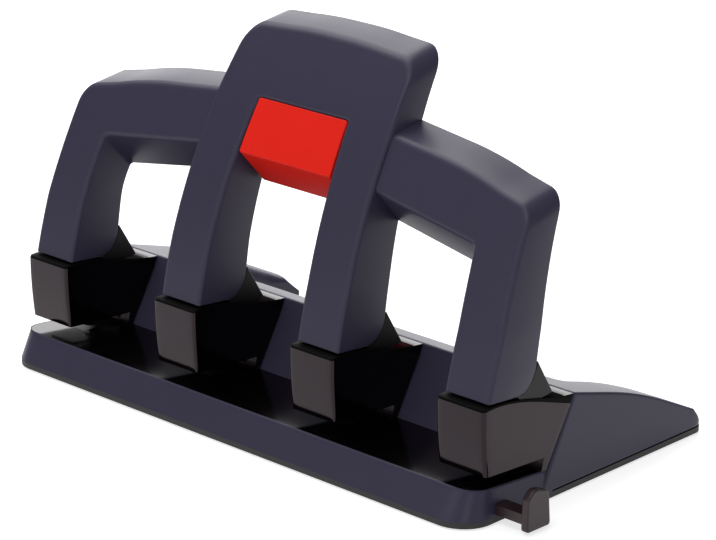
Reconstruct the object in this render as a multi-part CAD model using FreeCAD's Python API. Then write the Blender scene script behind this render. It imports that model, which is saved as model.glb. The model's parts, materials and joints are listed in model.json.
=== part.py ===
"""Four-hole desk punch: a lever handle on four legs turns back over a wide base.

Each leg ends in a steel hub with an involute cam.  The cam presses one punch pin
straight down through the paper slot and into its die; a coil spring lifts it again.
Millimetres, +X to the right, +Y to the rear, +Z up.  The origin is the middle of the
surface that the feet rest on.  Places along Y are given as a distance behind the
bottom front edge, and from_front() turns them into coordinates.
"""
import FreeCAD
import Part
import math
import os

from FreeCAD import Vector

os.makedirs("parts", exist_ok=True)

# ---- punches ---------------------------------------------------------------------
HOLE_PITCH = 80.0
HOLE_COUNT = 4
HOLE_DIAMETER = 6.0
HOLE_TO_PAPER_EDGE = 12.0
BACK_STOP_DEPTH = 47.0
SLOT_HEIGHT = 5.4
PRESS_ANGLE = 48.0
CAM_BASE_RADIUS = 9.0
CAM_START_DROP = 4.0
CAM_GAP = 0.25
CAM_NOSE_MARGIN_DEG = 4.0
PIVOT_HEIGHT = 41.0
PIVOT_PIN_DIAMETER = 5.0
PIVOT_CLEARANCE = 0.05
PIVOT_HEAD_DIAMETER = 8.0
PIVOT_HEAD_THICKNESS = 1.0
PIVOT_CLIP_DIAMETER = 7.4
PIVOT_CLIP_THICKNESS = 0.7
PIN_GUIDE_CLEARANCE = 0.05
DIE_CLEARANCE = 0.1
PIN_REST_RECESS = 0.35
PIN_HEAD_DIAMETER = 9.0
PIN_HEAD_THICKNESS = 1.8
PIN_TIP_NOTCH = 1.2
SPRING_WIRE = 0.9
SPRING_GAP = 0.25
SPRING_WAVES = 2

# ---- steel punch frames and their rail ----------------------------------------------
FRAME_WIDTH = 14.0
FRAME_EAR = 2.0
FRAME_ARM_HEIGHT = 3.4
FRAME_DIE_HEIGHT = 3.3
FRAME_COLUMN_DEPTH = 6.0
FRAME_NOSE = 9.5
FRAME_EAR_RADIUS = 5.4
FRAME_EAR_FOOT = 6.5
DIE_RECESS = 0.15
RAIL_THICKNESS = 1.8
RAIL_REAR_MARGIN = 2.5
RAIL_END_MARGIN = 0.5
CHIP_HOLE_DIAMETER = 8.0
FRAME_SCREW_DIAMETER = 3.0
FRAME_SCREW_HEAD = 5.4
FRAME_SCREW_HEAD_HEIGHT = 1.2
FRAME_SCREW_COVER = 0.6

# ---- tower covers -------------------------------------------------------------------
TOWER_WALL = 1.2
TOWER_FRONT_WALL = 1.6
TOWER_FRONT = 13.3
TOWER_BELLY = 2.3
TOWER_BELLY_RISE = 9.0
TOWER_BELLY_RADIUS = 30.0
TOWER_FRONT_EDGE_RADIUS = 0.8
TOWER_TOP_FRONT_RISE = 6.9
TOWER_TOP_MID_RISE = 4.6
TOWER_TOP_MID_DEPTH = 12.0
TOWER_TOP_MID_RADIUS = 60.0
TOWER_REAR_TOP = 66.0
TOWER_REAR_TOP_DROP = 0.2
TOWER_REAR_FOOT = 50.4
TOWER_SEAM = 0.2
TOWER_LIP_RISE = 1.0
TOWER_ROOF = 1.5
TOWER_BACK_GAP = 2.6
TOWER_MOUTH_LEDGE = 5.0
TOWER_MOUTH_DEPTH = 4.0
TOWER_EDGE_RADIUS = 1.4

# ---- base ---------------------------------------------------------------------------
BASE_DEPTH = 156.0
BASE_END_MARGIN = 14.6
BASE_REAR_TAPER = 3.4
BASE_CORNER_RADIUS = 14.0
BASE_REAR_CORNER_RADIUS = 7.0
FRONT_BEVEL = 6.0
END_BEVEL = 1.6
RIM_HEIGHT = 15.6
TOP_SLOPE_DEG = 3.65
BASE_WALL = 2.6
RIDGE_RISE = 0.2
RIDGE_RADIUS = 1.0
RIDGE_END_LEAN = 1.0
ARM_BEND = 108.6
ARM_BEND_HEIGHT = 30.0
ARM_BEND_RADIUS = 300.0
ARM_REAR_BEVEL = 8.0
ARM_REAR_HEIGHT = 11.8
ARM_WIDTH = 23.6
MIDDLE_STRIP = 8.2
BAY_RADIUS = 5.0
FOOT_PROUD = 0.8
BAND_HEIGHT = 2.4
TABLE_RIM = 0.8
TABLE_REAR_GAP = 0.3
TABLE_THICKNESS = 1.8
TABLE_CORNER_RADIUS = 9.0
TABLE_REAR_RADIUS = 1.0
TABLE_LEDGE = 6.0
TABLE_END_LEDGE = 2.2
LEDGE_THICKNESS = 1.8
TABLE_GAP = 0.15
CROSS_RIB = 8.0
FOOT_DIAMETER = 14.0
FOOT_INSET = 13.0
MIDDLE_FOOT_DIAMETER = 6.0
MIDDLE_FOOT_MARGIN = 0.9
FOOT_MARGIN = 1.0
FOOT_SEAT = 1.0
SCREW_DIAMETER = 3.0
SCREW_HEAD_DIAMETER = 5.6
SCREW_HEAD_HEIGHT = 1.4
SCREW_LENGTH = 6.0
BOSS_DIAMETER = 7.0
ARM_BOSS_DEPTH = 116.0

# ---- chip tray ----------------------------------------------------------------------
TRAY_FRONT = 27.8
TRAY_DEPTH = 43.0
TRAY_END_INSET = 2.0
CUT_MARGIN = 40.0
TRAY_WALL = 1.6
TRAY_FLOOR = 1.5
TRAY_GAP = 0.5
TRAY_SWING_GAP = 1.2
TRAY_FLOOR_LIFT = 0.5
TRAY_HINGE_DIAMETER = 1.6
TRAY_HINGE_INSET = 2.4
TRAY_HINGE_LENGTH = 4.0
TRAY_HINGE_CLEARANCE = 0.08
TRAY_CORNER_RADIUS = 4.0
TRAY_FINGER_WIDTH = 26.0

# ---- paper guide --------------------------------------------------------------------
GUIDE_BAR_DEPTH = 7.0
GUIDE_BAR_HEIGHT = 4.2
GUIDE_BAR_FRONT = 17.6
GUIDE_BAR_LIFT = 0.9
GUIDE_BAR_INNER_END = 6.0
GUIDE_PULLED_OUT = 13.5
GUIDE_CLEARANCE = 0.3
GUIDE_RAIL = 1.4
GUIDE_RAIL_LENGTH = 62.0
GUIDE_STOP_THICKNESS = 3.6
GUIDE_STOP_FRONT = 16.6
GUIDE_STOP_DEPTH = 14.0
GUIDE_STOP_RISE = 3.4
GUIDE_NOTCH_PITCH = 10.0
GUIDE_NOTCH_COUNT = 8
GUIDE_NOTCH = 0.6
GUIDE_SPRING_THICKNESS = 0.4
GUIDE_SPRING_LENGTH = 18.0
GUIDE_SPRING_HEIGHT = 3.0
GUIDE_WINDOW = 4.0

# ---- handle -------------------------------------------------------------------------
LEG_WIDTH = 23.0
LEG_SIDE_GAP = 0.3
LEG_FRONT = 14.5
LEG_REAR = 42.0
LEG_FRONT_RISE = 8.2
LEG_REAR_RISE = 6.4
HEEL_RADIUS = 13.0
FRONT_MID = (32.6, 108.5)
FRONT_TOP = (64.6, 162.6)
SIDE_SETBACK = 1.8
SIDE_SETBACK_FROM = 100.0
REAR_MID = (54.9, 111.0)
REAR_TOP = (81.0, 164.5)
ARCH_TOP = 162.4
ARCH_SHOULDER = 160.6
ARCH_HALF_WIDTH = 47.5
ARCH_SPREAD = 2.0
ARCH_CORNER_RADIUS = 10.0
SIDE_ARCH_INNER_TOP = 133.6
SIDE_ARCH_MID_TOP = 129.4
SIDE_ARCH_OUTER_TOP = 121.8
SIDE_ARCH_CORNER_RADIUS = 9.0
LEG_TOP_TAPER = 3.4
SIDE_WINDOW_INNER_TOP = 112.6
SIDE_WINDOW_OUTER_TOP = 105.4
SIDE_WINDOW_RADIUS = 3.0
CENTRE_WINDOW_TOP = 135.1
CENTRE_WINDOW_TAPER = 3.2
CENTRE_WINDOW_RADIUS = 1.5
WINDOW_TILT = 36.0
HANDLE_WALL = 2.4
HANDLE_BACK_THICKNESS = 2.2
HANDLE_BACK_GAP = 0.15
LEVER_PLATE = 3.0
LEVER_PLATE_GAP = 1.2
HANDLE_RIB = 2.0
RED_BLOCK_HEIGHT = 21.6
RED_BLOCK_GAP = 0.12
RED_BLOCK_SETBACK = 0.5
RED_BLOCK_BACK_SETBACK = 1.0
DRUM_RADIUS = 27.4
DRUM_FLAT_FROM = 25.4
DRUM_FLAT_ANGLE_DEG = 37.6
LEG_STRAIGHT = 25.0
WINDOW_INNER_TAPER = 1.2
WINDOW_OUTER_TAPER = 2.6
HANDLE_RIB_HEIGHTS = (86.0, 119.0, 146.0)
LEVER_SCREW_FIRST = 7.0
LEVER_SCREW_PITCH = 9.0
LEVER_SCREW_LENGTH = 9.0
DRUM_LOWER_ANGLE = 8.0
DRUM_SKIN = 2.2
DRUM_CHEEK = 3.1
DRUM_EYE = 9.0
HUB_RADIUS = 5.2
HUB_SIDE_GAP = 0.35
ROOT_NECK_REAR = 10.4
ROOT_TANG_HEIGHT = 20.0
LEVER_SCREW_DIAMETER = 3.0
LEVER_SCREW_HEAD = 5.5
LEVER_SCREW_HEAD_HEIGHT = 1.5

# ---- worked out ---------------------------------------------------------------------
HOLE_XS = [(i - (HOLE_COUNT - 1) / 2) * HOLE_PITCH for i in range(HOLE_COUNT)]
OUTER_HOLE = HOLE_XS[-1]
TRAY_HALF_LENGTH = OUTER_HOLE - TRAY_END_INSET
INNER_HOLE = HOLE_XS[HOLE_COUNT // 2]
BASE_HALF_FRONT = OUTER_HOLE + BASE_END_MARGIN
BASE_HALF_REAR = BASE_HALF_FRONT - BASE_REAR_TAPER
TABLE_FRONT = FRONT_BEVEL + TABLE_RIM
TABLE_REAR = TOWER_REAR_FOOT - TABLE_REAR_GAP
TABLE_HALF = BASE_HALF_FRONT - END_BEVEL - TABLE_RIM
SHELL_BOTTOM = FOOT_PROUD + BAND_HEIGHT
ARM_REAR = BASE_DEPTH - ARM_REAR_BEVEL
MIDDLE_REAR = TRAY_FRONT + TRAY_DEPTH + TRAY_GAP + MIDDLE_STRIP
TOP_SLOPE = math.tan(math.radians(TOP_SLOPE_DEG))
PIN_DEPTH = BACK_STOP_DEPTH - HOLE_TO_PAPER_EDGE
PIVOT_DEPTH = PIN_DEPTH - CAM_BASE_RADIUS
PRESS = math.radians(PRESS_ANGLE)
PIN_TRAVEL = CAM_BASE_RADIUS * PRESS
PIN_TOP = PIVOT_HEIGHT - CAM_START_DROP
TOWER_HALF = LEG_WIDTH / 2 + LEG_SIDE_GAP + TOWER_WALL
TOWER_INNER_HALF = TOWER_HALF - TOWER_WALL
TOWER_TOP_FRONT_HEIGHT = PIVOT_HEIGHT + TOWER_TOP_FRONT_RISE
RIDGE_HEIGHT = PIVOT_HEIGHT + RIDGE_RISE
TOWER_REAR_TOP_HEIGHT = RIDGE_HEIGHT - TOWER_REAR_TOP_DROP
LEG_BOTTOM_FRONT = PIVOT_HEIGHT + LEG_FRONT_RISE
LEG_BOTTOM_REAR = PIVOT_HEIGHT + LEG_REAR_RISE


def top_height(depth):
    """Height of the sloping top of the base at a distance behind the front edge."""
    return RIM_HEIGHT - TOP_SLOPE * (depth - FRONT_BEVEL)


DIE_TOP = top_height(PIN_DEPTH) - DIE_RECESS
DIE_BOTTOM = DIE_TOP - FRAME_DIE_HEIGHT
RAIL_BOTTOM = DIE_BOTTOM - RAIL_THICKNESS
ARM_BOTTOM = DIE_TOP + SLOT_HEIGHT
ARM_TOP = ARM_BOTTOM + FRAME_ARM_HEIGHT
PIN_TIP = ARM_BOTTOM + PIN_REST_RECESS
FRAME_REAR = BACK_STOP_DEPTH + FRAME_COLUMN_DEPTH
FRAME_FRONT = PIVOT_DEPTH - FRAME_EAR_FOOT


# ---- helpers ------------------------------------------------------------------------
def from_front(depth):
    return depth - BASE_DEPTH / 2


def box(x0, x1, d0, d1, z0, z1):
    """Box between two X places, two depths behind the front edge and two heights."""
    return Part.makeBox(x1 - x0, d1 - d0, z1 - z0, Vector(x0, from_front(d0), z0))


def cylinder(radius, height, x, depth, z):
    return Part.makeCylinder(radius, height, Vector(x, from_front(depth), z))


def rounded_wire(corners, place):
    """Closed wire through corners (u, v, radius); place turns (u, v) into a vector."""
    count = len(corners)
    edges = []
    ends = []
    for i in range(count):
        here = Vector(corners[i][0], corners[i][1], 0)
        radius = corners[i][2]
        to_last = Vector(corners[i - 1][0], corners[i - 1][1], 0).sub(here)
        to_next = Vector(corners[(i + 1) % count][0], corners[(i + 1) % count][1], 0).sub(here)
        room = 0.48 * min(to_last.Length, to_next.Length)
        to_last.normalize()
        to_next.normalize()
        half = to_last.getAngle(to_next) / 2
        if radius <= 0 or half > math.pi / 2 - 0.001:
            ends.append((here, here, None))
            continue
        tangent = min(radius / math.tan(half), room)
        radius = tangent * math.tan(half)
        first = here + to_last * tangent
        last = here + to_next * tangent
        middle_way = to_last + to_next
        middle_way.normalize()
        centre = here + middle_way * (radius / math.sin(half))
        ends.append((first, last, centre - middle_way * radius))
    for i in range(count):
        first, last, middle = ends[i]
        if middle is not None:
            arc = Part.Arc(place(first.x, first.y), place(middle.x, middle.y), place(last.x, last.y))
            edges.append(arc.toShape())
        start = ends[(i + 1) % count][0]
        if last.sub(start).Length > 1e-6:
            edges.append(Part.makeLine(place(last.x, last.y), place(start.x, start.y)))
    return Part.Wire(edges)


def plan_wire(corners, z):
    return rounded_wire(corners, lambda u, v: Vector(u, from_front(v), z))


def plan_prism(corners, z0, z1):
    return Part.Face(plan_wire(corners, z0)).extrude(Vector(0, 0, z1 - z0))


def side_prism(corners, x0, x1):
    """Prism along X of a profile drawn as (depth, height, radius)."""
    wire = rounded_wire(corners, lambda u, v: Vector(x0, from_front(u), v))
    return Part.Face(wire).extrude(Vector(x1 - x0, 0, 0))


def front_prism(corners, depth, run):
    """Prism of a profile drawn as (x, height, radius) at a depth, swept along run."""
    wire = rounded_wire(corners, lambda u, v: Vector(u, from_front(depth), v))
    return Part.Face(wire).extrude(run)


def mirrored(right_half):
    """Corners of the right half, upwards, closed by their mirror image."""
    return right_half + [(-x, z, r) for x, z, r in reversed(right_half)]


def each_hole(shape):
    """One copy of a shape, drawn at x = 0, at every hole."""
    return [shape.translated(Vector(x, 0, 0)) for x in HOLE_XS]


def save(shape, node):
    shape = shape.removeSplitter()
    if not shape.isValid():
        raise ValueError(node + " is not valid")
    shape.exportStep("parts/" + node + ".step")
    print(node, len(shape.Solids), "solids", round(shape.Volume, 1), "mm3")


# ---- base ---------------------------------------------------------------------------
def base_outline(front, end, rear):
    """Plan of the base, drawn in from its bottom edge on each side."""
    half_front = BASE_HALF_FRONT - end
    half_rear = BASE_HALF_REAR - end
    back = BASE_DEPTH - rear
    front_radius = BASE_CORNER_RADIUS - max(front, end) / 2
    rear_radius = BASE_REAR_CORNER_RADIUS - max(rear, end) / 2
    return [(half_front, front, front_radius), (half_rear, back, rear_radius),
            (-half_rear, back, rear_radius), (-half_front, front, front_radius)]


def below_top(drop, extra=CUT_MARGIN):
    """Everything under the sloping top, lowered by a drop."""
    front_z = top_height(-extra) - drop
    rear_z = top_height(BASE_DEPTH + extra) - drop
    corners = [(-extra, -extra, 0), (BASE_DEPTH + extra, -extra, 0),
               (BASE_DEPTH + extra, rear_z, 0), (-extra, front_z, 0)]
    reach = BASE_HALF_FRONT + extra
    return side_prism(corners, -reach, reach)


def rear_bay(grow):
    """Open bay between the two arms of the base, grown on every side."""
    half = BASE_HALF_REAR - ARM_WIDTH + grow
    front = MIDDLE_REAR - grow
    beyond = 2 * BASE_DEPTH
    corners = [(half, beyond, 0), (half, front, BAY_RADIUS), (-half, front, BAY_RADIUS), (-half, beyond, 0)]
    return plan_prism(corners, -RIM_HEIGHT, 2 * RIDGE_HEIGHT)


def raised_profile(inset):
    """Side outline of the raised rear body, drawn in by an inset."""
    foot_z = top_height(TOWER_REAR_FOOT)
    slant = (TOWER_REAR_TOP - TOWER_REAR_FOOT) / (RIDGE_HEIGHT - foot_z)
    front = TOWER_REAR_FOOT + TOWER_SEAM + inset * math.hypot(1, slant)
    ridge_z = RIDGE_HEIGHT - 2 * inset
    return [(front - slant * (foot_z - SHELL_BOTTOM), SHELL_BOTTOM, 0),
            (front + slant * (ridge_z - foot_z), ridge_z, RIDGE_RADIUS),
            (ARM_BEND, ARM_BEND_HEIGHT - inset, ARM_BEND_RADIUS),
            (ARM_REAR - inset, ARM_REAR_HEIGHT - inset, RIDGE_RADIUS),
            (BASE_DEPTH - inset, SHELL_BOTTOM, 0)]


def raised_body(inset):
    """Raised body behind the towers with its two arms, drawn in by a wall."""
    low = plan_wire(base_outline(inset, inset, inset), SHELL_BOTTOM)
    high = plan_wire(base_outline(inset, inset + RIDGE_END_LEAN, inset), RIDGE_HEIGHT + 1)
    reach = BASE_HALF_FRONT + BASE_WALL
    form = Part.makeLoft([low, high], True, True).common(side_prism(raised_profile(inset), -reach, reach))
    return form.cut(rear_bay(inset))


def frame_holes(gap):
    """Room for the feet of the punch frames, with a gap all round."""
    half = FRAME_WIDTH / 2 + gap
    return [box(x - half, x + half, FRAME_FRONT - gap, FRAME_REAR + gap, 0, ARM_TOP + gap) for x in HOLE_XS]


def table_corners(gap):
    half_front = TABLE_HALF + gap
    taper = BASE_REAR_TAPER * (TABLE_REAR - TABLE_FRONT) / BASE_DEPTH
    half_rear = half_front - taper
    radius = TABLE_CORNER_RADIUS + gap
    rear_radius = TABLE_REAR_RADIUS + gap
    return [(half_front, TABLE_FRONT - gap, radius), (half_rear, TABLE_REAR + gap, rear_radius),
            (-half_rear, TABLE_REAR + gap, rear_radius), (-half_front, TABLE_FRONT - gap, radius)]


def under_table(z0):
    """Space under the table panel, inside its ledge."""
    half = TABLE_HALF - TABLE_END_LEDGE
    return box(-half, half, TABLE_FRONT + TABLE_LEDGE, TABLE_REAR - TABLE_END_LEDGE, z0, RIM_HEIGHT)


def rail_box():
    half = OUTER_HOLE + FRAME_WIDTH / 2 + RAIL_END_MARGIN
    return box(-half, half, PIN_DEPTH - FRAME_NOSE, FRAME_REAR + RAIL_REAR_MARGIN,
               RAIL_BOTTOM, DIE_BOTTOM)


def rail_room():
    """Room for the punch rail under the table, with a gap at its rear and ends."""
    gap = TABLE_GAP
    half = OUTER_HOLE + FRAME_WIDTH / 2 + RAIL_END_MARGIN + gap
    return box(-half, half, PIN_DEPTH - FRAME_NOSE - gap, FRAME_REAR + RAIL_REAR_MARGIN + gap,
               RAIL_BOTTOM - gap, DIE_BOTTOM)


def rib_xs():
    """Places of the cross ribs: half way between neighbouring holes."""
    return [(a + b) / 2 for a, b in zip(HOLE_XS, HOLE_XS[1:])]


def boss_places():
    half = BASE_HALF_FRONT - BASE_WALL - BOSS_DIAMETER
    near = BASE_WALL + FRONT_BEVEL + BOSS_DIAMETER / 2
    middle = MIDDLE_REAR - BASE_WALL - SCREW_DIAMETER / 2
    arm = BASE_HALF_REAR - ARM_WIDTH / 2
    return [(-half, near), (-HOLE_PITCH / 4, near), (-arm, ARM_BOSS_DEPTH), (HOLE_PITCH / 4, middle),
            (arm, ARM_BOSS_DEPTH)]


def guide_space():
    """Where the guide bar runs, with its clearance all round."""
    gap = GUIDE_CLEARANCE
    z0 = SHELL_BOTTOM + GUIDE_BAR_LIFT - gap
    z1 = z0 + GUIDE_BAR_HEIGHT + 2 * gap
    return box(GUIDE_BAR_INNER_END, BASE_HALF_FRONT + 2, GUIDE_BAR_FRONT - gap,
               GUIDE_BAR_FRONT + GUIDE_BAR_DEPTH + gap, z0, z1)


def base_shell():
    reach = BASE_HALF_FRONT
    wall = BASE_WALL
    bottom = plan_wire(base_outline(0, 0, 0), SHELL_BOTTOM)
    top = plan_wire(base_outline(FRONT_BEVEL, END_BEVEL, 0), RIM_HEIGHT)
    front = box(-reach, reach, 0, TOWER_REAR_TOP, SHELL_BOTTOM, RIM_HEIGHT).common(below_top(0))
    solid = Part.makeLoft([bottom, top], True, True).common(front).fuse(raised_body(0))
    inner_low = plan_wire(base_outline(wall + 1, wall, wall), SHELL_BOTTOM)
    inner_high = plan_wire(base_outline(FRONT_BEVEL + wall, END_BEVEL + wall, wall), RIM_HEIGHT)
    cavity = Part.makeLoft([inner_low, inner_high], True, True).common(front).common(below_top(wall))
    ledge = plan_prism(table_corners(TABLE_GAP + wall), 0, RIM_HEIGHT + 2)
    ledge = ledge.cut(below_top(TABLE_THICKNESS + LEDGE_THICKNESS))
    body = solid.cut(cavity.cut(ledge)).cut(raised_body(wall))
    recess = plan_prism(table_corners(TABLE_GAP), 0, RIM_HEIGHT + 2).cut(below_top(TABLE_THICKNESS))
    body = body.cut(recess).cut(under_table(SHELL_BOTTOM - 1))
    for x in rib_xs():
        rib = box(x - CROSS_RIB / 2, x + CROSS_RIB / 2, TABLE_FRONT + TABLE_LEDGE - 1, TABLE_REAR + 1,
                  DIE_BOTTOM, RIM_HEIGHT)
        body = body.fuse(rib.common(below_top(TABLE_THICKNESS)))
    for x, depth in boss_places():
        boss = cylinder(BOSS_DIAMETER / 2, RIDGE_HEIGHT, x, depth, SHELL_BOTTOM).common(solid).cut(recess)
        hole = cylinder(SCREW_DIAMETER / 2, SCREW_LENGTH - SCREW_HEAD_HEIGHT, x, depth, SHELL_BOTTOM)
        body = body.fuse(boss).cut(hole)
    for hole in frame_holes(TABLE_GAP):
        body = body.cut(hole)
    return with_guide_rails(body.cut(rail_room()))


def with_guide_rails(body):
    """Two rails beside the guide bar, and its mouth through the end wall."""
    x1 = BASE_HALF_FRONT - BASE_WALL
    x0 = x1 - GUIDE_RAIL_LENGTH
    gap = GUIDE_CLEARANCE
    fronts = [GUIDE_BAR_FRONT - gap - GUIDE_RAIL, GUIDE_BAR_FRONT + GUIDE_BAR_DEPTH + gap]
    for front in fronts:
        rail = box(x0, x1, front, front + GUIDE_RAIL, SHELL_BOTTOM, RAIL_BOTTOM)
        body = body.fuse(rail)
    x = guide_spring_x()
    window = box(x - GUIDE_WINDOW / 2, x + GUIDE_WINDOW / 2, fronts[1], fronts[1] + GUIDE_RAIL,
                 SHELL_BOTTOM, SHELL_BOTTOM + GUIDE_BAR_LIFT + GUIDE_SPRING_HEIGHT + gap)
    return body.cut(guide_space()).cut(window)


def table_panel():
    panel = plan_prism(table_corners(0), 0, RIM_HEIGHT + 2).common(below_top(0))
    panel = panel.cut(below_top(TABLE_THICKNESS))
    half = FRAME_WIDTH / 2 + TABLE_GAP
    for x in HOLE_XS:
        slot = box(x - half, x + half, PIN_DEPTH - FRAME_NOSE - TABLE_GAP, FRAME_REAR + TABLE_GAP,
                   0, RIM_HEIGHT + 1)
        panel = panel.cut(slot)
    return panel


def punch_rail():
    rail = rail_box()
    for x in HOLE_XS:
        rail = rail.cut(cylinder(CHIP_HOLE_DIAMETER / 2, RAIL_THICKNESS, x, PIN_DEPTH, RAIL_BOTTOM))
        for depth in frame_screw_depths():
            rail = rail.cut(cylinder(FRAME_SCREW_DIAMETER / 2, RAIL_THICKNESS, x, depth, RAIL_BOTTOM))
            rail = rail.cut(cylinder(FRAME_SCREW_HEAD / 2, FRAME_SCREW_HEAD_HEIGHT, x, depth, RAIL_BOTTOM))
    return rail


def frame_screw_depths():
    return [PIN_DEPTH - FRAME_NOSE + 3.0, BACK_STOP_DEPTH + FRAME_COLUMN_DEPTH / 2]


def bottom_band():
    """Black bottom plate with the tray opening and the sockets of the feet."""
    band = plan_prism(base_outline(0, 0, 0), FOOT_PROUD, SHELL_BOTTOM).cut(rear_bay(0))
    band = band.cut(tray_opening())
    for x, depth, size in foot_places():
        band = band.cut(cylinder(size / 2, FOOT_SEAT, x, depth, FOOT_PROUD))
    for x, depth in boss_places():
        band = band.cut(cylinder(SCREW_DIAMETER / 2, BAND_HEIGHT, x, depth, FOOT_PROUD))
        band = band.cut(cylinder(SCREW_HEAD_DIAMETER / 2, SCREW_HEAD_HEIGHT, x, depth, FOOT_PROUD))
    return band.cut(tray_hinge_pins(TRAY_HINGE_CLEARANCE))


def foot_places():
    """Feet under the corners and the arms, and a small one behind the tray, as (x, depth, diameter)."""
    boss = BASE_HALF_FRONT - BASE_WALL - BOSS_DIAMETER
    half = boss - SCREW_HEAD_DIAMETER / 2 - FOOT_MARGIN - FOOT_DIAMETER / 2
    arm = BASE_HALF_REAR - ARM_WIDTH / 2
    back = BASE_DEPTH - FOOT_INSET
    middle = MIDDLE_REAR - MIDDLE_FOOT_MARGIN - MIDDLE_FOOT_DIAMETER / 2
    return [(-half, FOOT_INSET, FOOT_DIAMETER), (half, FOOT_INSET, FOOT_DIAMETER),
            (-arm, back, FOOT_DIAMETER), (arm, back, FOOT_DIAMETER), (0, middle, MIDDLE_FOOT_DIAMETER)]


def rubber_feet():
    height = FOOT_PROUD + FOOT_SEAT
    return Part.makeCompound([cylinder(size / 2, height, x, d, 0) for x, d, size in foot_places()])


def screw(x, depth, head_bottom, head_diameter, head_height, diameter, length):
    """Countersunk screw standing on its head, along +Z."""
    head = cylinder(head_diameter / 2, head_height, x, depth, head_bottom)
    shank = cylinder(diameter / 2, length - head_height, x, depth, head_bottom + head_height)
    return head.fuse(shank)


def base_screws():
    return Part.makeCompound([screw(x, d, FOOT_PROUD, SCREW_HEAD_DIAMETER, SCREW_HEAD_HEIGHT,
                                    SCREW_DIAMETER, BAND_HEIGHT + SCREW_LENGTH - SCREW_HEAD_HEIGHT)
                              for x, d in boss_places()])


# ---- chip tray ----------------------------------------------------------------------
def tray_opening():
    gap = TRAY_GAP
    half = TRAY_HALF_LENGTH + gap
    radius = TRAY_CORNER_RADIUS
    front = TRAY_FRONT - TRAY_SWING_GAP
    back = TRAY_FRONT + TRAY_DEPTH + gap
    corners = [(half, front, radius), (half, back, radius), (-half, back, radius), (-half, front, radius)]
    return plan_prism(corners, FOOT_PROUD - 1, RIM_HEIGHT)


def tray_hinge_height():
    return FOOT_PROUD + TRAY_FLOOR_LIFT + TRAY_HINGE_DIAMETER / 2


def tray_hinge_depth():
    return TRAY_FRONT + TRAY_DEPTH - TRAY_HINGE_INSET


def tray_hinge_pins(gap):
    """The two short pins that the tray turns on, at its rear corners."""
    radius = TRAY_HINGE_DIAMETER / 2 + gap
    pins = []
    for side in (-1, 1):
        start = side * (TRAY_HALF_LENGTH - 1)
        base = Vector(start, from_front(tray_hinge_depth()), tray_hinge_height())
        pins.append(Part.makeCylinder(radius, 1 + TRAY_HINGE_LENGTH + gap, base, Vector(side, 0, 0)))
    return Part.makeCompound(pins)


def chip_tray():
    half = TRAY_HALF_LENGTH
    back = TRAY_FRONT + TRAY_DEPTH
    floor = FOOT_PROUD + TRAY_FLOOR_LIFT
    top = RAIL_BOTTOM - TRAY_GAP
    radius = TRAY_CORNER_RADIUS - 1
    outer = [(half, TRAY_FRONT, radius), (half, back, radius), (-half, back, radius),
             (-half, TRAY_FRONT, radius)]
    wall = TRAY_WALL
    inner = [(half - wall, TRAY_FRONT + wall, radius - 1), (half - wall, back - wall, radius - 1),
             (-half + wall, back - wall, radius - 1), (-half + wall, TRAY_FRONT + wall, radius - 1)]
    tray = plan_prism(outer, floor, top).cut(plan_prism(inner, floor + TRAY_FLOOR, top + 1))
    tray = tray.common(below_top(TABLE_THICKNESS + LEDGE_THICKNESS + TRAY_GAP))
    finger = cylinder(TRAY_FINGER_WIDTH / 2, TRAY_FLOOR / 2, 0, TRAY_FRONT - TRAY_FINGER_WIDTH / 4, floor)
    for pin in tray_hinge_pins(0).Solids:
        tray = tray.fuse(pin)
    return tray.cut(finger)


# ---- punch units, drawn at x = 0 ------------------------------------------------------
def punch_frame():
    """C-shaped steel frame: die below the slot, pin guide above it, two ears for the pivot."""
    half = FRAME_WIDTH / 2
    nose = PIN_DEPTH - FRAME_NOSE
    die = box(-half, half, nose, FRAME_REAR, DIE_BOTTOM, DIE_TOP)
    column = box(-half, half, BACK_STOP_DEPTH, FRAME_REAR, DIE_BOTTOM, ARM_TOP)
    arm = box(-half, half, FRAME_FRONT, FRAME_REAR, ARM_BOTTOM, ARM_TOP)
    frame = die.fuse(column).fuse(arm).fuse(frame_ear(-half)).fuse(frame_ear(half - FRAME_EAR))
    frame = frame.cut(pivot_bore(PIVOT_PIN_DIAMETER / 2))
    guide = HOLE_DIAMETER / 2 + PIN_GUIDE_CLEARANCE
    frame = frame.cut(cylinder(guide, FRAME_ARM_HEIGHT, 0, PIN_DEPTH, ARM_BOTTOM))
    frame = frame.cut(cylinder(HOLE_DIAMETER / 2 + DIE_CLEARANCE, FRAME_DIE_HEIGHT, 0, PIN_DEPTH, DIE_BOTTOM))
    screw_hole = FRAME_DIE_HEIGHT - FRAME_SCREW_COVER
    for depth in frame_screw_depths():
        frame = frame.cut(cylinder(FRAME_SCREW_DIAMETER / 2, screw_hole, 0, depth, DIE_BOTTOM))
    return frame


def frame_ear(x0):
    top = PIVOT_HEIGHT + FRAME_EAR_RADIUS
    r = FRAME_EAR_RADIUS
    corners = [(FRAME_FRONT, ARM_TOP - 1, 0), (PIN_DEPTH + FRAME_EAR_RADIUS, ARM_TOP - 1, 0),
               (PIN_DEPTH + FRAME_EAR_RADIUS, ARM_TOP + 2, 2.0), (PIVOT_DEPTH + r, PIVOT_HEIGHT - 2, 3.0),
               (PIVOT_DEPTH + r, top, r), (PIVOT_DEPTH - r, top, r), (PIVOT_DEPTH - r, ARM_TOP + 6, 3.0)]
    return side_prism(corners, x0, x0 + FRAME_EAR)


def pivot_bore(radius):
    half = FRAME_WIDTH
    start = Vector(-half, from_front(PIVOT_DEPTH), PIVOT_HEIGHT)
    return Part.makeCylinder(radius, 2 * half, start, Vector(1, 0, 0))


def axle(x0, x1, radius):
    start = Vector(x0, from_front(PIVOT_DEPTH), PIVOT_HEIGHT)
    return Part.makeCylinder(radius, x1 - x0, start, Vector(1, 0, 0))


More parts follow.
